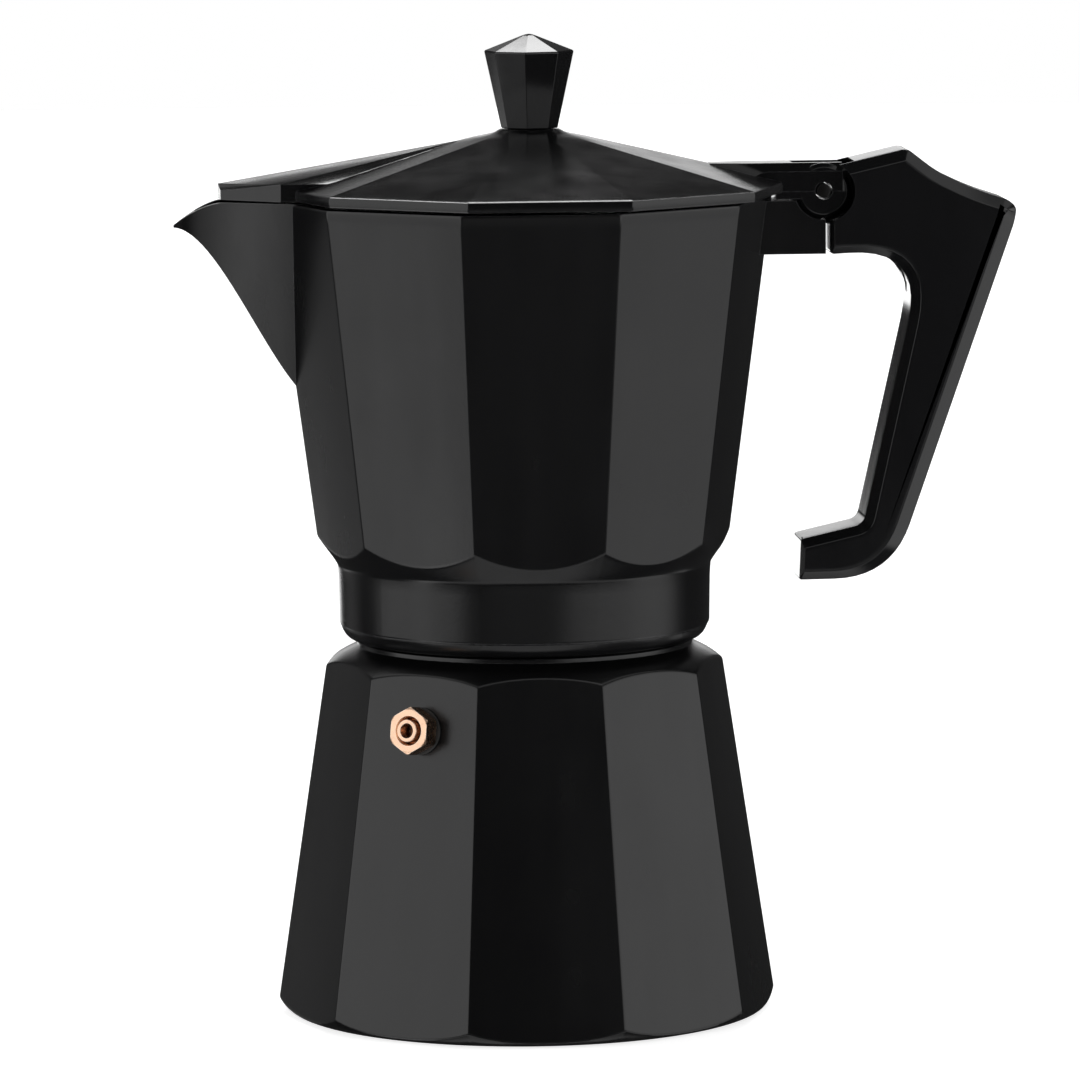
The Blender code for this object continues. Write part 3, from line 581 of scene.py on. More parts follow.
def silicone(name):
    m = Nodes(name)
    m.colour(m.spread(m.noise(120, 3), 0.3, 0.7, 0.0, 1.0), (0.78, 0.75, 0.69), (0.86, 0.84, 0.79))
    m.rough(m.spread(m.noise(500, 3), 0.3, 0.7, 0.45, 0.65))
    m.bump(m.noise(1400, 2), 0.02, 0.6)
    m.set(Subsurface_Weight=0.15, Subsurface_Scale=0.002)
    return m.material


def black_rubber(name):
    m = Nodes(name)
    m.colour(m.spread(m.noise(200, 3), 0.3, 0.7, 0.0, 1.0), (0.015, 0.015, 0.015), (0.03, 0.03, 0.03))
    m.rough(m.spread(m.noise(700, 3), 0.3, 0.7, 0.5, 0.7))
    m.bump(m.noise(1800, 2), 0.015, 0.6)
    return m.material


# --- Boiler ---


def boiler_corner_r(z):
    return FOOT_R - BOILER_SLOPE * (z - FOOT_Z)


def collector_corner_r(z):
    return CONE_R + COLLECTOR_SLOPE * (z - CONE_Z)


def thread(angle, steps=44):
    """The screw thread down the neck, as a path at one place round it."""
    top, bottom, points = RIM_Z - 0.9, 79.4, []
    for i in range(steps + 1):
        z = top + (bottom - top) * i / steps
        turn = (z / THREAD_PITCH - angle / (2 * math.pi)) % 1.0
        ridge = min(max(1.25 * math.cos(2 * math.pi * turn) + 0.35, 0.0), 1.0)
        fade = min(1.0, (top - z) / 1.2, (z - bottom) / 1.2)
        points.append((THREAD_R + THREAD_DEPTH * ridge * max(fade, 0.0), z))
    return points


def along(start, end, t):
    """The point a share t of the way from start to end."""
    return (start[0] + (end[0] - start[0]) * t, start[1] + (end[1] - start[1]) * t)


def facet_join(round_part, facet_start, facet_end, size, steps=3):
    """The small fillet between a turned stretch's end and a flat side."""
    here = Vector(round_part[-1])
    start = Vector(round_part[-2])
    towards = (Vector(facet_end) - Vector(facet_start)).normalized()
    end = here + towards * size
    result = []
    for i in range(1, steps + 1):
        t = i / steps
        result.append(tuple(start * (1 - t) ** 2 + here * 2 * t * (1 - t) + end * t**2))
    return result


def boiler_path(reach, angle):
    def outside(point):
        return point[0] - reach * boiler_corner_r(point[1])

    top = [(MOUTH_R, RIM_Z, 0), (THREAD_R - 0.4, RIM_Z, 0)]
    neck = soften(top + [(THREAD_R, RIM_Z - 0.5, 0), (THREAD_R, RIM_Z - 0.8, 0)])
    ledge = soften([(THREAD_R, 79.0, 0), (NECK_R, 78.6, 0.3), (NECK_R, 77.7, 0)])
    shoulder = cut_at(bezier((35.3, 77.6), (36.4, 76.7), (41.0, 75.6), (43.8, 71.2), 40), outside, 16)
    foot = cut_at(bezier((47.3, 0), (50.6, 0.2), (52.6, 2.2), (53.2, 5.6), 30), outside, 10)
    upper, lower = shoulder[-1], foot[-1]
    side = [along(upper, lower, t) for t in (0.2, 0.5, 0.8)]
    into_side = facet_join(shoulder, upper, lower, 0.6)
    into_foot = list(reversed(facet_join(foot, lower, upper, 0.5)))
    wall_low = boiler_corner_r(6) * FLAT - 2.6
    wall_top = boiler_corner_r(70) * FLAT - 2.6
    inside = soften(
        [
            (wall_low - 6, 3.2, 0),
            (wall_low - 1, 3.2, 2.5),
            (wall_low, 6.5, 2.5),
            (wall_top, 69, 4),
            (31.0, 75.4, 2),
            (MOUTH_R, 78.0, 1),
            (MOUTH_R, RIM_Z - 0.4, 0),
        ],
        5,
    )
    inner_floor = [(0, 3.2), (12, 3.2), (30, 3.2)]
    outer_floor = [(44.0, 0), (30, 0), (12, 0), (0, 0)]
    outer = neck + thread(angle) + ledge + shoulder[:-1] + into_side + side + into_foot
    return inner_floor + inside + outer + list(reversed(foot[:-2])) + outer_floor


def make_boiler():
    ring = rounded_polygon(SIDES, 0.022, 6, 18, 0.006)
    shell = swept("boiler_shell", ring, boiler_path)
    hole = cylinder("valve_hole", 3.8, -8, 6, valve_frame())
    combine(shell, hole, "DIFFERENCE")
    wall = (boiler_corner_r(0) * FLAT - 1.3, -BOILER_SLOPE, 2.5, 72)
    finish(shell, black_coating("boiler_coating", 0.0, wall, (32.2, 0, 2.5, RIM_Z - 0.6)), "boiler", "boiler")


# --- Safety valve ---


def valve_frame():
    """The valve's own frame: Z outwards along its travel, Y up the boiler's side."""
    out = Vector(joint("valve_lift")["axis"]).normalized()
    side = Vector((0, 0, 1)).cross(out).normalized()
    turn = math.atan2(out.y, out.x)
    z = 63.8
    reach = boiler_corner_r(z) * FLAT
    origin = Vector((reach * math.cos(turn), reach * math.sin(turn), z)) * MM
    return Matrix.Translation(origin) @ Matrix((side, out.cross(side), out)).transposed().to_4x4()


def hexagon_path(reach, angle):
    """Hexagonal head with a round crown, its shank, and the bore in its face."""
    face, back = 5.0, 1.1

    def outside(point):
        return point[0] - reach * 4.97

    slope = [(4.4, face - 0.03), (4.65, face - 0.1), (4.9, face - 0.25), (5.3, face - 0.65)]
    crown = cut_at([(3.4, face), (4.25, face)] + slope, outside, 6)
    base = cut_at([(4.3, back), (4.55, back), (4.75, back + 0.12), (5.2, back + 0.5)], outside, 4)
    bore = soften([(2.0, -4.2, 0), (1.7, -2.6, 0), (2.87, -2.0, 0), (2.87, face - 0.25, 0), (3.1, face, 0)])
    side = [(crown[-1][0], crown[-1][1] - 0.5), (base[-1][0], base[-1][1] + 0.5)]
    shank = soften([(3.7, back, 0), (3.5, back - 0.2, 0), (3.5, -4.2, 0.3), (3.2, -4.6, 0), (1.75, -4.6, 0)])
    return bore + crown + side + list(reversed(base)) + shank


def make_valve():
    at = valve_frame()
    ring = [(angle + math.pi / 2, reach) for angle, reach in rounded_polygon(6, 0.03, 3, 12)]
    body = place(swept("valve_hexagon", ring, hexagon_path), at)
    finish(body, copper_plate("valve_body_copper"), "boiler", "valve_body")
    corners = [(1.5, 5.7, 0.15), (2.35, 5.7, 0.25), (2.35, 3.2, 0)]
    corners += [(2.57, 3.1, 0), (2.57, 2.2, 0.1), (1.5, 2.2, 0.1)]
    bush = place(turned_ring("valve_bush", corners, 48), at)
    finish(bush, copper_plate("valve_bush_copper"), "boiler", "valve_retainer")
    # Black rubber washer; its black also serves as painted shade round the valve's base.
    corners = [(4.9, 0.8, 0.1), (4.9, 0.3, 0.1), (3.85, 0.3, 0.1), (3.85, 0.8, 0.1)]
    washer = place(turned_ring("valve_seat_washer", corners, 64), at)
    finish(washer, black_rubber("valve_washer_rubber_and_shade"), "boiler", "valve_washer")
    corners = [(0, 2.8, 0), (0.8, 2.8, 0.2), (0.8, -1.2, 0), (2.5, -1.2, 0.15), (2.5, -1.7, 0.1)]
    corners += [(1.35, -2.5, 0), (0.9, -3.4, 0.2), (0, -3.4, 0)]
    plunger = place(turned("valve_needle", corners, 48), at)
    finish(plunger, copper_plate("valve_plunger_copper"), "valve_plunger", "valve_plunger")
    make_valve_spring(at)


def make_valve_spring(at):
    turns, per_turn, radius, bottom, top, wire = 3, 28, 1.95, -0.25, 1.65, 0.22
    count = turns * per_turn
    sections = []
    for i in range(count + 1):
        angle = 2 * math.pi * i / per_turn
        out = Vector((math.cos(angle), math.sin(angle), 0))
        centre = out * radius + Vector((0, 0, bottom + (top - bottom) * i / count))
        section = []
        for k in range(8):
            around = 2 * math.pi * k / 8
            section.append(centre + out * wire * math.cos(around) + Vector((0, 0, wire * math.sin(around))))
        sections.append(section)
    spring = place(loft("valve_coil", sections), at)
    finish(spring, steel("valve_spring_steel"), "boiler", "valve_spring", sharp=60)


# --- Funnel, gasket and filters ---


def make_funnel():
    top = high("funnel", "z")
    low_end = low("funnel", "z")
    corners = [
        (33.2, top, 0.3),
        (33.2, top - 1, 0.3),
        (28.8, top - 1, 1.0),
        (28.8, 63.0, 3.0),
        (27.0, 60.4, 2.0),
        (6.0, 57.0, 3.0),
        (4.0, 54.5, 2.0),
        (4.0, low_end, 0.2),
        (3.2, low_end, 0.2),
        (3.2, 54.8, 2.0),
        (5.6, 57.8, 3.0),
        (26.5, 61.2, 2.0),
        (28.0, 63.4, 2.0),
        (28.0, top, 0.8),
    ]
    funnel = turned_ring("funnel_shell", corners, 128)
    finish(funnel, bare_aluminium("funnel_aluminium"), "funnel", "funnel")


def lattice(reach, pitch):
    rows = int(reach / pitch) + 2
    found = []
    for row in range(-rows, rows + 1):
        for column in range(-rows, rows + 1):
            x, y = (column + row / 2) * pitch, row * pitch * math.sqrt(3) / 2
            if math.hypot(x, y) <= reach:
                found.append((x, y))
    return found


def make_perforated(name, node, body):
    """A punched disc with its grid of fine holes."""
    bottom, top = low(node, "z"), high(node, "z")
    radius = high(node, "x")
    corners = [(0, top, 0), (radius, top, 0.15), (radius, bottom, 0.15), (0, bottom, 0)]
    plate = turned(name, corners, 128)
    shape = bmesh.new()
    for x, y in lattice(radius - 3.5, 3.4):
        at = Matrix.Translation(Vector((x, y, (bottom + top) / 2)) * MM)
        bmesh.ops.create_cone(
            shape, cap_ends=True, segments=10, radius1=0.55 * MM, radius2=0.55 * MM, depth=3 * MM, matrix=at
        )
    mesh = bpy.data.meshes.new(name + "_holes")
    shape.to_mesh(mesh)
    shape.free()
    combine(plate, link(name + "_holes", mesh), "DIFFERENCE")
    finish(plate, bare_aluminium(name + "_aluminium", 700), body, node)


def make_gasket():
    bottom, top = low("gasket", "z"), high("gasket", "z")
    corners = [(27.5, top, 0.5), (34.0, top, 0.5), (34.0, bottom, 0.5), (27.5, bottom, 0.5)]
    finish(turned_ring("gasket_ring", corners, 128), silicone("gasket_silicone"), "gasket", "gasket")


# --- Collector ---


def collector_path(reach, angle):
    def outside(point):
        return point[0] - reach * collector_corner_r(point[1])

    skirt = [
        (34.3, SKIRT_Z + 0.5),
        (34.6, SKIRT_Z + 0.05),
        (35.6, SKIRT_Z),
        (36.3, SKIRT_Z + 0.15),
        (37.1, 79.55),
        (37.7, 80.15),
        (38.15, 80.9),
        (38.5, 81.75),
        (38.5, 81.85),
        (38.4, 81.9),
        (38.4, 82.05),
        (38.75, 82.15),
        (38.85, 82.5),
        (39.0, 92.0),
        (39.15, 94.2),
    ]
    cone = cut_at(bezier((39.2, 94.7), (39.8, 96.3), (43.0, 99.6), (46.0, 105.0), 40), outside, 12)
    inner_low = collector_corner_r(FLOOR_Z) - 3.6
    inner_top = collector_corner_r(TOP_Z) - 2.9
    side_low, side_top = cone[-1], (reach * collector_corner_r(TOP_Z - 0.6), TOP_Z - 0.6)
    side = [along(side_low, side_top, t) for t in (0.15, 0.4, 0.7, 0.97)]
    rim = [side_top, (side_top[0] - 0.15, TOP_Z - 0.15), (side_top[0] - 0.6, TOP_Z)]
    rim += [(reach * inner_top + 0.5, TOP_Z), (reach * inner_top, TOP_Z - 0.5)]
    inner = []
    for t in (0.6, 0.2, 0.03):
        inner.append((reach * (inner_low + (inner_top - inner_low) * t), FLOOR_Z + (TOP_Z - FLOOR_Z) * t))
    floor = [(reach * inner_low - 1.5, FLOOR_Z + 0.4), (reach * inner_low - 4, FLOOR_Z)]
    floor += [(20, FLOOR_Z), (7.0, FLOOR_Z)]
    under = [(7.0, 96.2), (9.0, 96.0), (20, SEAT_Z + 2.3), (30.0, SEAT_Z + 1.6), (30.0, SEAT_Z)]
    under += [(SKIRT_BORE_R - 0.2, SEAT_Z), (SKIRT_BORE_R, SEAT_Z - 0.2), (SKIRT_BORE_R, 86.0)]
    return under + skirt + cone[:-1] + facet_join(cone, side_low, side_top, 0.6) + side + rim + inner + floor


def spout_half_width(x):
    return SPOUT_ROOT_HALF_WIDTH * (x - TIP_X) / (SPOUT_ROOT_X - TIP_X)


def spout_sections(inside):
    """V-shaped sections from inside the body to the tip; inside=True gives the channel's."""
    sections = []
    count = 40
    keel = bezier(*KEEL, count)
    lead_in = [(x + 28 * t, z - 34 * t) for t in (0.24, 0.12) for x, z in keel[:1]]
    for x, keel_z in lead_in + keel:
        top_z = TOP_Z
        half = max(spout_half_width(x), 0.5)
        if not inside:
            sections.append([(x, 0.25, keel_z), (x, half, top_z), (x, -half, top_z), (x, -0.25, keel_z)])
            continue
        near_tip = min(max((SPOUT_ROOT_X - x) / (SPOUT_ROOT_X - TIP_X), 0), 1)
        wall = 2.2 - 1.5 * near_tip
        slope = half / (top_z - keel_z)
        keel_z += wall / math.sin(math.atan(slope))
        top_z += 4
        half = slope * (top_z - keel_z)
        if top_z - 8 > keel_z:
            sections.append([(x, 0.3, keel_z), (x, half, top_z), (x, -half, top_z), (x, -0.3, keel_z)])
    return sections


def rim_outline():
    """The region above the rim, whose edge curls down along the spout to its tip."""
    outline = [(90.0, 190.0), (90.0, TOP_Z)]
    for i in range(17):
        share = i / 16
        x = SPOUT_CURL_X + share * (TIP_X - SPOUT_CURL_X)
        outline.append((x, TOP_Z - SPOUT_CURL_DROP * share**1.7))
    return outline + [(-90.0, 164.0), (-90.0, 190.0)]


def lug_outline():
    pin = (PIN_X, PIN_Z)
    return [
        (53.5, 163.0),
        (53.5, 168.5),
        (57.2, 170.2),
        *arc(pin, KNUCKLE_R - 0.3, 200, 45, 24),
        (67.5, 176.2),
        (84.0, 176.2),
        (84.0, 167.2),
        (63.5, 167.2),
        (60.0, 163.0),
    ]


def make_collector():
    ring = rounded_polygon(SIDES, 0.02, 6, 18, 0.004)
    shell = swept("collector_shell", ring, collector_path)
    spout = loft("spout", spout_sections(False))
    combine(spout, slab("rim_cut", rim_outline(), 70), "DIFFERENCE")
    combine(shell, spout, "UNION")
    block = box("bracket", (47, -ARM_HALF_WIDTH, 159.0), (BRACKET_END_X, ARM_HALF_WIDTH, 170.2))
    combine(block, cylinder("knuckle_room", KNUCKLE_R + 0.3, -9, 9, along_y(PIN_X, PIN_Z), 96), "DIFFERENCE")
    combine(shell, block, "UNION")
    combine(shell, slab("lug", lug_outline(), LUG_HALF_WIDTH), "UNION")
    inner_top = collector_corner_r(176) - 2.9
    room = swept(
        "room",
        rounded_polygon(SIDES, 0.02, 6, 18),
        lambda reach, angle: [
            (0, 176),
            (reach * inner_top, 176),
            (reach * (collector_corner_r(120) - 3.3), 120),
            (0, 120),
        ],
    )
    combine(shell, room, "DIFFERENCE")
    combine(shell, loft("channel", spout_sections(True)), "DIFFERENCE")
    combine(shell, cylinder("lug_hole", 1.8, -9, 9, along_y(PIN_X, PIN_Z)), "DIFFERENCE")
    combine(shell, cylinder("tongue_hole", 1.9, 150, 180, shift_x(77.5)), "DIFFERENCE")
    round_edges(shell, 0.35, 2, 40)
    wall = (collector_corner_r(0) - 2.6, COLLECTOR_SLOPE, FLOOR_Z - 0.2, TOP_Z - 0.8)
    bore = (34.8, 0, SKIRT_Z + 0.4, FLOOR_Z + 0.5)
    finish(shell, black_coating("collector_coating", 0.0, wall, bore), "collector", "collector")


def make_riser():
    corners = [
        (0, 145.0, 0),
        (3.0, 144.8, 1.0),
        (5.0, 143.4, 1.5),
        (5.6, 141.0, 1.5),
        (8.6, 102.0, 2.0),
        (10.0, 100.4, 0.5),
        (10.0, FLOOR_Z + 0.3, 0),
        (6.7, FLOOR_Z + 0.3, 0),
        (6.7, 95.8, 0),
        (3.5, 95.8, 0.3),
        (3.5, 142.8, 0.6),
        (0, 143.1, 0),
    ]
    riser = turned("riser_tube", corners, 96)
    combine(riser, box("slots", (-9, -1.6, 135.5), (9, 1.6, 141.6)), "DIFFERENCE")
    round_edges(riser, 0.25, 2, 40)
    finish(riser, bare_aluminium("riser_aluminium", 300), "collector", "riser_column")


# --- Lid ---


def lid_path(reach, angle):
    def at(radius, z, faceted):
        return (radius * (1 + faceted * (reach - 1)), z)

    slope = (LID_NECK_Z - LID_RIM_Z) / (LID_R - LID_NECK_R)
    top = [(0, 185.7), (3.0, 185.7), (6.1, 185.65), (6.7, 185.35)]
    top += [(7.4, 184.95), (8.6, 184.6), (10.2, 184.28)]
    for radius in (12.5, 16, 22, 30, 40, 50, 52.8):
        faceted = min(1.0, (radius - 9) / 10)
        top.append(at(radius, LID_RIM_Z + slope * (LID_R - radius), faceted))
    edge = [at(LID_R - 0.5, LID_RIM_Z + 0.1, 1), at(LID_R - 0.1, LID_RIM_Z - 0.1, 1)]
    edge += [at(LID_R, LID_RIM_Z - 0.5, 1), at(LID_R, LID_BOTTOM_Z + 0.4, 1)]
    edge += [at(LID_R - 0.1, LID_BOTTOM_Z + 0.1, 1), at(LID_R - 0.4, LID_BOTTOM_Z, 1)]
    under = [at(51.4, LID_BOTTOM_Z, 1), at(51.2, LID_BOTTOM_Z + 0.2, 1), at(50.2, 172.35, 1)]
    under += [at(30, 177.0, 1), at(14, 180.75, 0.6), (9.5, 181.7), (8, 181.8), (0, 181.8)]
    return top + edge + under


def beak_points(inset):
    low_z = LID_BOTTOM_Z - 3 if inset else LID_BOTTOM_Z
    side = inset * 1.2
    upper = [
        (-63.4 + inset, 0, 175.0 - inset),
        (-13.3, 0, 183.3 - inset),
        (-63.0 + inset, 4.6 - side, 173.8 - inset),
        (-51.0, 13.9 - side, 175.6 - inset),
        (-38.0, 14.5 - side, 175.6 - inset),
    ]
    lower = [(x, y, low_z) for x, y, z in upper if z < 178]
    return mirrored(upper + lower)


def arm_points():
    """The arm from the lid's slope to the hinge, round-nosed where its flank leaves the slope."""
    half = ARM_HALF_WIDTH - 0.06
    top_half = half - 1.7
    arm_top = PIN_Z + KNUCKLE_R
    side_z = arm_top - 1.7
    low_z = LID_BOTTOM_Z + 0.2
    nose = [(51.3, 0), (49.6, 0.35), (48.2, 1.1), (47.3, 2.2), (47.0, 3.2)]
    flank = [(x, half, side_z - drop) for x, drop in nose]
    flank += [(ARM_END_X, half, side_z), (47.2, half, low_z), (ARM_END_X, half, low_z)]
    crest = [(39.5, 2.2, 178.0), (43.0, 3.2, 177.9)]
    crest += [(47.5, top_half, arm_top), (ARM_END_X, top_half, arm_top)]
    return mirrored(flank + crest + [(38.0, 3.0, 175.0)])


def make_lid():
    ring = rounded_polygon(SIDES, 0.012, 4, 10)
    lid = place(swept("lid_shell", ring, lid_path), shift_x(LID_X))
    combine(lid, hull("beak", beak_points(0)), "UNION")
    combine(lid, hull("arm", arm_points()), "UNION")
    pad = ARM_HALF_WIDTH - 0.15
    combine(lid, box("arm_pad", (TOP_R + 0.15, -pad, 170.5), (PIN_X, pad, 173.5)), "UNION")
    half, edge = ARM_HALF_WIDTH - 0.1, 0.9
    corners = [(0, half, 0), (KNUCKLE_R - edge, half, 0.2), (KNUCKLE_R, half - edge, 0.2)]
    corners += [(KNUCKLE_R, edge - half, 0.2), (KNUCKLE_R - edge, -half, 0.2), (0, -half, 0)]
    combine(lid, place(turned("knuckle", corners, 96), along_y(PIN_X, PIN_Z)), "UNION")
    room = swept(
        "lid_room",
        rounded_polygon(SIDES, 0.012, 4, 10),
        lambda reach, angle: [(0, 181.6), (9.5, 181.6), (reach * 51.1, 171.9), (reach * 51.1, 169), (0, 169)],
    )
    combine(lid, place(room, shift_x(LID_X)), "DIFFERENCE")
    combine(lid, hull("beak_room", beak_points(2.0)), "DIFFERENCE")
    slot = LUG_HALF_WIDTH + 0.3
    combine(lid, box("slot", (PIN_X - 6.3, -slot, 160), (75, slot, 185)), "DIFFERENCE")
    combine(lid, cylinder("screw_hole", 2.0, 170, 190, shift_x(LID_X)), "DIFFERENCE")
    round_edges(lid, 0.3, 2, 25)
    combine(lid, cylinder("pin_hole", 1.8, -9, 9, along_y(PIN_X, PIN_Z)), "DIFFERENCE")
    slope = (LID_NECK_Z - LID_RIM_Z) / (LID_R - LID_NECK_R)
    under = (LID_R + (LID_RIM_Z - 2.2) / slope, -1 / slope, 173.0, 184)
    finish(lid, black_coating("lid_coating", 0.07, under), "lid", "lid")


def knob_path(reach, angle):
    corners = [(0, 185.75, 0), (5.9 * reach, 185.75, 0.3), (9.4 * reach, 201.9, 0.35)]
    return soften(corners + [(0.9 * reach, 205.25, 0.8), (0, 205.4, 0)])


def make_knob():
    ring = [(angle + math.radians(-9.2), reach) for angle, reach in rounded_polygon(8, 0.03, 4, 6)]
    knob = place(swept("knob_grip", ring, knob_path), shift_x(LID_X))
    combine(knob, cylinder("knob_hole", 2.0, 180, 197, shift_x(LID_X)), "DIFFERENCE")
    finish(knob, bakelite("knob_bakelite"), "lid", "knob", sharp=60)


def make_screw(name, node, body, x, head_r, head_low, head_high, shank_r, end, material):
    corners = [
        (0, end, 0),
        (shank_r - 0.5, end, 0),
        (shank_r, end - 0.6, 0),
        (shank_r, head_high, 0),
        (head_r, head_high, 0.2),
        (head_r, head_low, 0.6),
        (0, head_low, 0),
    ]
    screw = place(turned(name, corners, 64), shift_x(x))
    slot = box("slot", (x - 0.4, -head_r - 1, head_low - 1), (x + 0.4, head_r + 1, head_low + 0.8))
    combine(screw, slot, "DIFFERENCE")
    finish(screw, material, body, node)


def make_small_metal():
    metal = steel("knob_screw_steel")
    make_screw("knob_fixing", "knob_screw", "lid", LID_X, 3.4, 178.6, 180.4, 1.7, 196.5, metal)
    metal = steel("handle_screw_steel")
    make_screw("handle_fixing", "handle_screw", "collector", 77.5, 3.2, 160.0, 161.7, 1.6, 175.6, metal)
    corners = [(4.4, 181.5, 0.1), (4.4, 180.7, 0.1), (2.0, 180.7, 0.1), (2.0, 181.5, 0.1)]
    washer = place(turned_ring("knob_fixing_washer", corners, 64), shift_x(LID_X))
    finish(washer, steel("knob_washer_steel"), "lid", "knob_washer")
    half = high("hinge_pin", "y") - 0.15
    corners = [(0, half, 0), (1.5, half, 0.25), (1.5, -half, 0.25), (0, -half, 0)]
    pin = place(turned("hinge_rod", corners, 48), along_y(PIN_X, PIN_Z))
    finish(pin, blackened_steel("hinge_pin_steel"), "collector", "hinge_pin")


# --- Handle ---


def handle_corners():
    """Side view, clockwise from the thumb rest's peak: x, z, fillet, and the next edge's chamfer share."""
    return [
        (80.3, 180.9, 1.2, 1.0),
        (86.6, 176.0, 3.0, 1.0),
        (94.3, 172.3, 3.5, 1.0),
        (101.8, 169.8, 1.1, 1.0),
        (103.5, 168.2, 1.1, 1.2),
        (103.0, 165.2, 1.4, 1.3),
        (76.9, 90.7, 12.0, 0.8),
        (57.4, 90.5, 0.6, 0.3),
        (57.8, 99.2, 0.6, 0.8),
        (71.0, 102.2, 1.8, 0.8),
        (84.0, 160.0, 16.0, 0.7),
        (FRONT_X, 158.9, 1.1, 0.3),
        (FRONT_X, 177.2, 1.1, 1.0),
    ]


def inset_outline(corners, inset, steps):
    """The outline moved inwards by each edge's share, with a curve of equal point count at each corner."""
    outline = []
    for i, (x, z, size, share) in enumerate(corners):
        here = Vector((x, z))
        before = (here - Vector(corners[i - 1][:2])).normalized()
        after = (Vector(corners[(i + 1) % len(corners)][:2]) - here).normalized()
        deep_before, deep_after = inset * corners[i - 1][3], inset * share
        turning = before.angle_signed(after)
        corner = here + (after * deep_before - before * deep_after) / math.sin(turning)
        reach = max(size - (deep_before + deep_after) / 2 * math.tan(turning / 2), 0.15)
        start, end = corner - before * reach, corner + after * reach
        for step in range(steps + 1):
            t = step / steps
            outline.append(tuple(start * (1 - t) ** 2 + corner * 2 * t * (1 - t) + end * t**2))
    return outline


def chamfered_slab(name, corners, half_width, chamfer, steps):
    """A slab with soft-edged chamfers along both faces, made of sections across Y."""
    inner = half_width - chamfer
    profile = [(0, inner - 3, 0), (0, inner, 0.25), (chamfer, half_width, 0.25), (chamfer + 1, half_width, 0)]
    near = soften(profile, 2)
    places = [(-y, inset) for inset, y in reversed(near)] + [(y, inset) for inset, y in near]
    sections = [[(x, y, z) for x, z in inset_outline(corners, inset, steps)] for y, inset in places]
    return loft(name, sections)


def make_handle():
    handle = chamfered_slab("handle_grip", handle_corners(), high("handle", "y"), 2.3, 10)
    combine(handle, cylinder("hollow", KNUCKLE_R + 0.5, -20, 20, along_y(PIN_X, PIN_Z), 128), "DIFFERENCE")
    slot = ARM_HALF_WIDTH + 0.3
    combine(handle, box("arm_slot", (58, -slot, 170.5), (69.3, slot, 186)), "DIFFERENCE")
    sweep_r = math.hypot(ARM_END_X - PIN_X, KNUCKLE_R) + 0.3
    combine(handle, cylinder("sweep", sweep_r, -slot, slot, along_y(PIN_X, PIN_Z), 128), "DIFFERENCE")
    pocket = LUG_HALF_WIDTH + 0.3
    combine(handle, box("pocket", (58, -pocket, 166.9), (84.3, pocket, 176.5)), "DIFFERENCE")
    combine(handle, cylinder("screw_way", 1.9, 150, 170, shift_x(77.5)), "DIFFERENCE")
    combine(handle, cylinder("screw_seat", 3.6, 150, 162, shift_x(77.5)), "DIFFERENCE")
    finish(handle, bakelite("handle_bakelite"), "collector", "handle", sharp=30)


# --- Camera, floor and lights ---


def make_camera():
    """Stands a little to the spout side of the pot's flank and looks slightly down."""
    forward_turn = math.radians(85.3)
    pitch, roll = math.radians(6.743), math.radians(-0.414)
    flat = Vector((math.cos(forward_turn), math.sin(forward_turn), 0))
    right = flat.cross(Vector((0, 0, 1)))
    forward = flat * math.cos(pitch) - Vector((0, 0, math.sin(pitch)))
    up = right.cross(forward)
    x_axis = right * math.cos(roll) + up * math.sin(roll)
    y_axis = up * math.cos(roll) - right * math.sin(roll)
    data = bpy.data.cameras.new("camera")
    data.sensor_width = 36
    data.lens = 265.97
    data.clip_end = 50
    camera = bpy.data.objects.new("camera", data)
    bpy.context.scene.collection.objects.link(camera)
    rotation = Matrix((x_axis, y_axis, -forward)).transposed().to_4x4()
    location = flat * -1.6632 + right * 0.00338 + Vector((0, 0, 0.2958))
    camera.matrix_world = Matrix.Translation(location) @ rotation
    bpy.context.scene.camera = camera


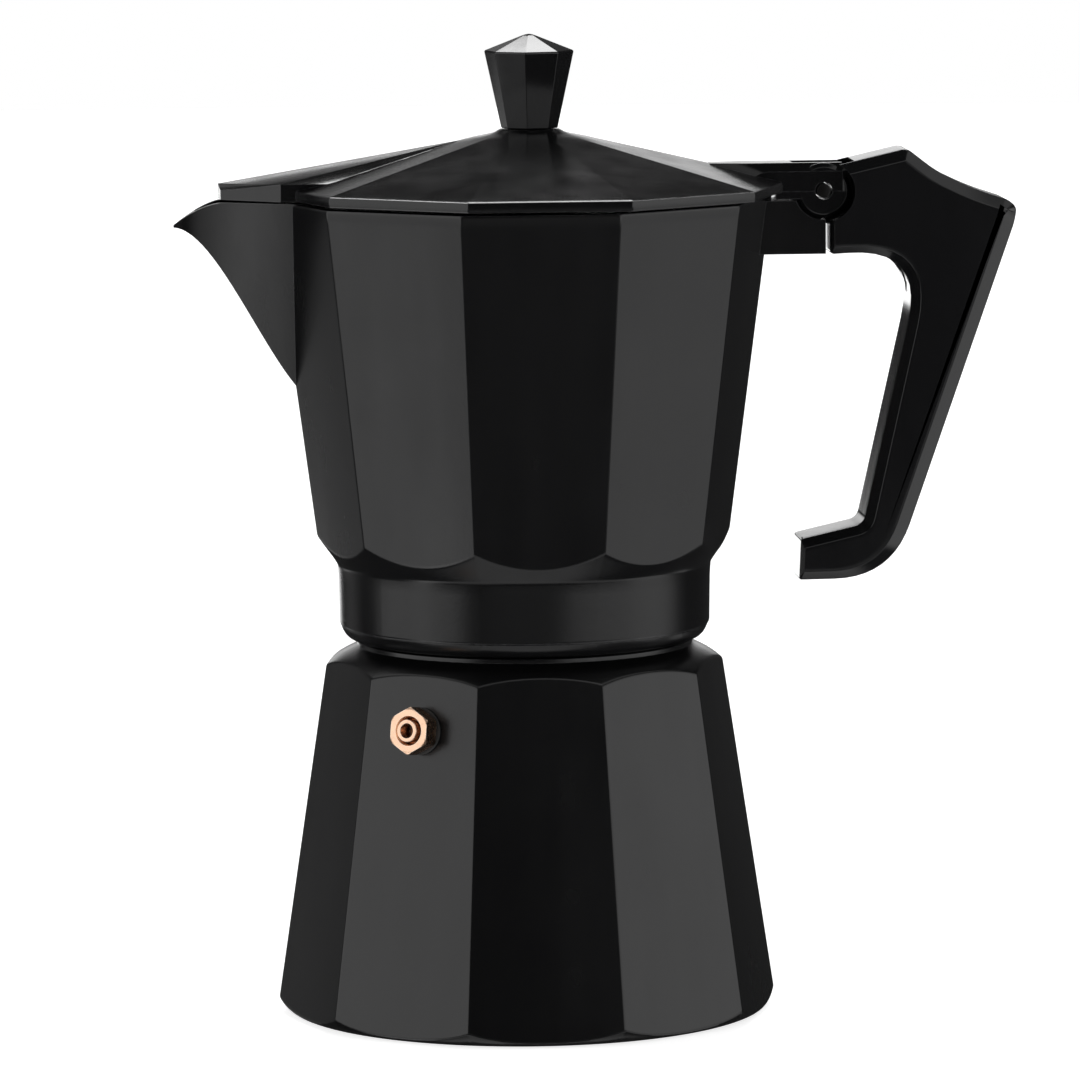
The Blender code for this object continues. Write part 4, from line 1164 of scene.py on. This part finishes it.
class Studio:
    """The room round the pot: dim walls and soft panels, all at a distance."""

    def __init__(self, room):
        self.world = bpy.data.worlds.new("studio")
        bpy.context.scene.world = self.world
        self.world.use_nodes = True
        self.tree = self.world.node_tree
        self.direction = self.tree.nodes.new("ShaderNodeTexCoord").outputs["Generated"]
        self.total = None
        self.room = room

    def node(self, kind, *values, **settings):
        node = self.tree.nodes.new(kind)
        for name, value in settings.items():
            setattr(node, name, value)
        for socket, value in zip(node.inputs, values):
            if isinstance(value, bpy.types.NodeSocket):
                self.tree.links.new(value, socket)
            else:
                socket.default_value = value
        return node

    def math(self, operation, *values):
        return self.node("ShaderNodeMath", *values, operation=operation).outputs[0]

    def along(self, axis):
        dot = self.node("ShaderNodeVectorMath", self.direction, axis, operation="DOT_PRODUCT")
        return dot.outputs["Value"]

    def fade(self, offset, half_size, softness):
        """1 within half_size degrees of a panel's middle, falling smoothly to 0 over the softness."""
        inner, outer = (math.tan(math.radians(half_size + k * softness / 2)) for k in (-1, 1))
        node = self.node("ShaderNodeMapRange", self.math("ABSOLUTE", offset), inner, outer, 1.0, 0.0)
        node.interpolation_type = "SMOOTHSTEP"
        return node.outputs["Result"]

    def panel(self, azimuth, elevation, half_width, half_height, softness, radiance):
        """A soft panel. Angles are in degrees, azimuth from +X; radiance 1 looks as bright as white."""
        turn, lift = math.radians(azimuth), math.radians(elevation)
        ahead = Vector((math.cos(turn) * math.cos(lift), math.sin(turn) * math.cos(lift), math.sin(lift)))
        side = Vector((-math.sin(turn), math.cos(turn), 0))
        up = ahead.cross(side)
        facing = self.math("MAXIMUM", self.along(ahead), 0.001)
        across = self.math("DIVIDE", self.along(side), facing)
        upwards = self.math("DIVIDE", self.along(up), facing)
        spot_across = self.fade(across, half_width, softness)
        spot_up = self.fade(upwards, half_height, softness)
        spot = self.math("MULTIPLY", spot_across, spot_up)
        light = self.math("MULTIPLY", spot, radiance)
        self.total = light if self.total is None else self.math("ADD", self.total, light)

    def close(self):
        """White to the camera, and the room with its panels to everything else."""
        lit = self.math("ADD", self.total, self.room)
        colour = self.node("ShaderNodeCombineColor", lit, lit, lit).outputs[0]
        room = self.tree.nodes["Background"]
        self.tree.links.new(colour, room.inputs["Color"])
        backdrop = self.node("ShaderNodeBackground", (1, 1, 1, 1))
        rays = self.node("ShaderNodeLightPath")
        to_camera = rays.outputs["Is Camera Ray"]
        mix = self.node("ShaderNodeMixShader", to_camera, room.outputs[0], backdrop.outputs[0])
        self.tree.links.new(mix.outputs[0], self.tree.nodes["World Output"].inputs["Surface"])


def make_studio():
    """Panels to the left, the right, behind and overhead, and the pale table seen in downward reflections."""
    studio = Studio(0.03)
    studio.panel(-164, 8, 33, 20, 12, 1.25)
    studio.panel(-162, -28, 7, 14, 3, 1.15)
    studio.panel(-28, 5, 38, 16, 22, 1.25)
    studio.panel(-6, -26, 16, 12, 6, 0.88)
    studio.panel(131, 2, 9, 26, 6, 0.13)
    studio.panel(62, 8, 12, 12, 8, 0.04)
    studio.panel(90, 6, 15, 5, 3, 1.2)
    studio.panel(97, -6.2, 7, 2.6, 1.5, 2.3)
    studio.panel(119, -14, 4, 3.5, 2, 0.8)
    studio.panel(31, -28, 6, 5, 3, 0.6)
    studio.panel(85, 17, 14, 4, 3, 0.22)
    studio.panel(85, 34, 40, 4, 5, 0.05)
    studio.panel(85, 51, 18, 8, 3, 6.5)
    studio.panel(-90, -12, 28, 3, 3, 0.3)
    studio.panel(-95, -52, 60, 14, 12, 0.6)
    studio.panel(-95, -88, 22, 22, 20, 0.6)
    studio.panel(-90, 50, 24, 14, 10, 0.6)
    studio.panel(165, 52, 30, 12, 14, 0.6)
    studio.panel(-20, 52, 30, 12, 14, 0.6)
    studio.close()


def make_floor():
    floor = turned("floor", [(0, -0.05, 0), (3000, -0.05, 0), (3000, -5, 0), (0, -5, 0)], 64)
    m = Nodes("floor_paint")
    m.colour(m.spread(m.noise(3, 2), 0.3, 0.7, 0.0, 1.0), (0.86, 0.86, 0.86), (0.9, 0.9, 0.9))
    m.set(Roughness=0.9, Specular_IOR_Level=0.1, Emission_Color=(1, 1, 1, 1), Emission_Strength=0.8)
    floor.data.materials.append(m.material)
    floor.visible_glossy = False


make_boiler()
make_valve()
make_funnel()
make_perforated("funnel_strainer", "funnel_screen", "funnel")
make_perforated("upper_strainer", "filter_plate", "filter_plate")
make_gasket()
make_collector()
make_riser()
make_lid()
make_knob()
make_small_metal()
make_handle()
make_camera()
make_studio()
make_floor()
bpy.context.scene.view_settings.view_transform = "Standard"
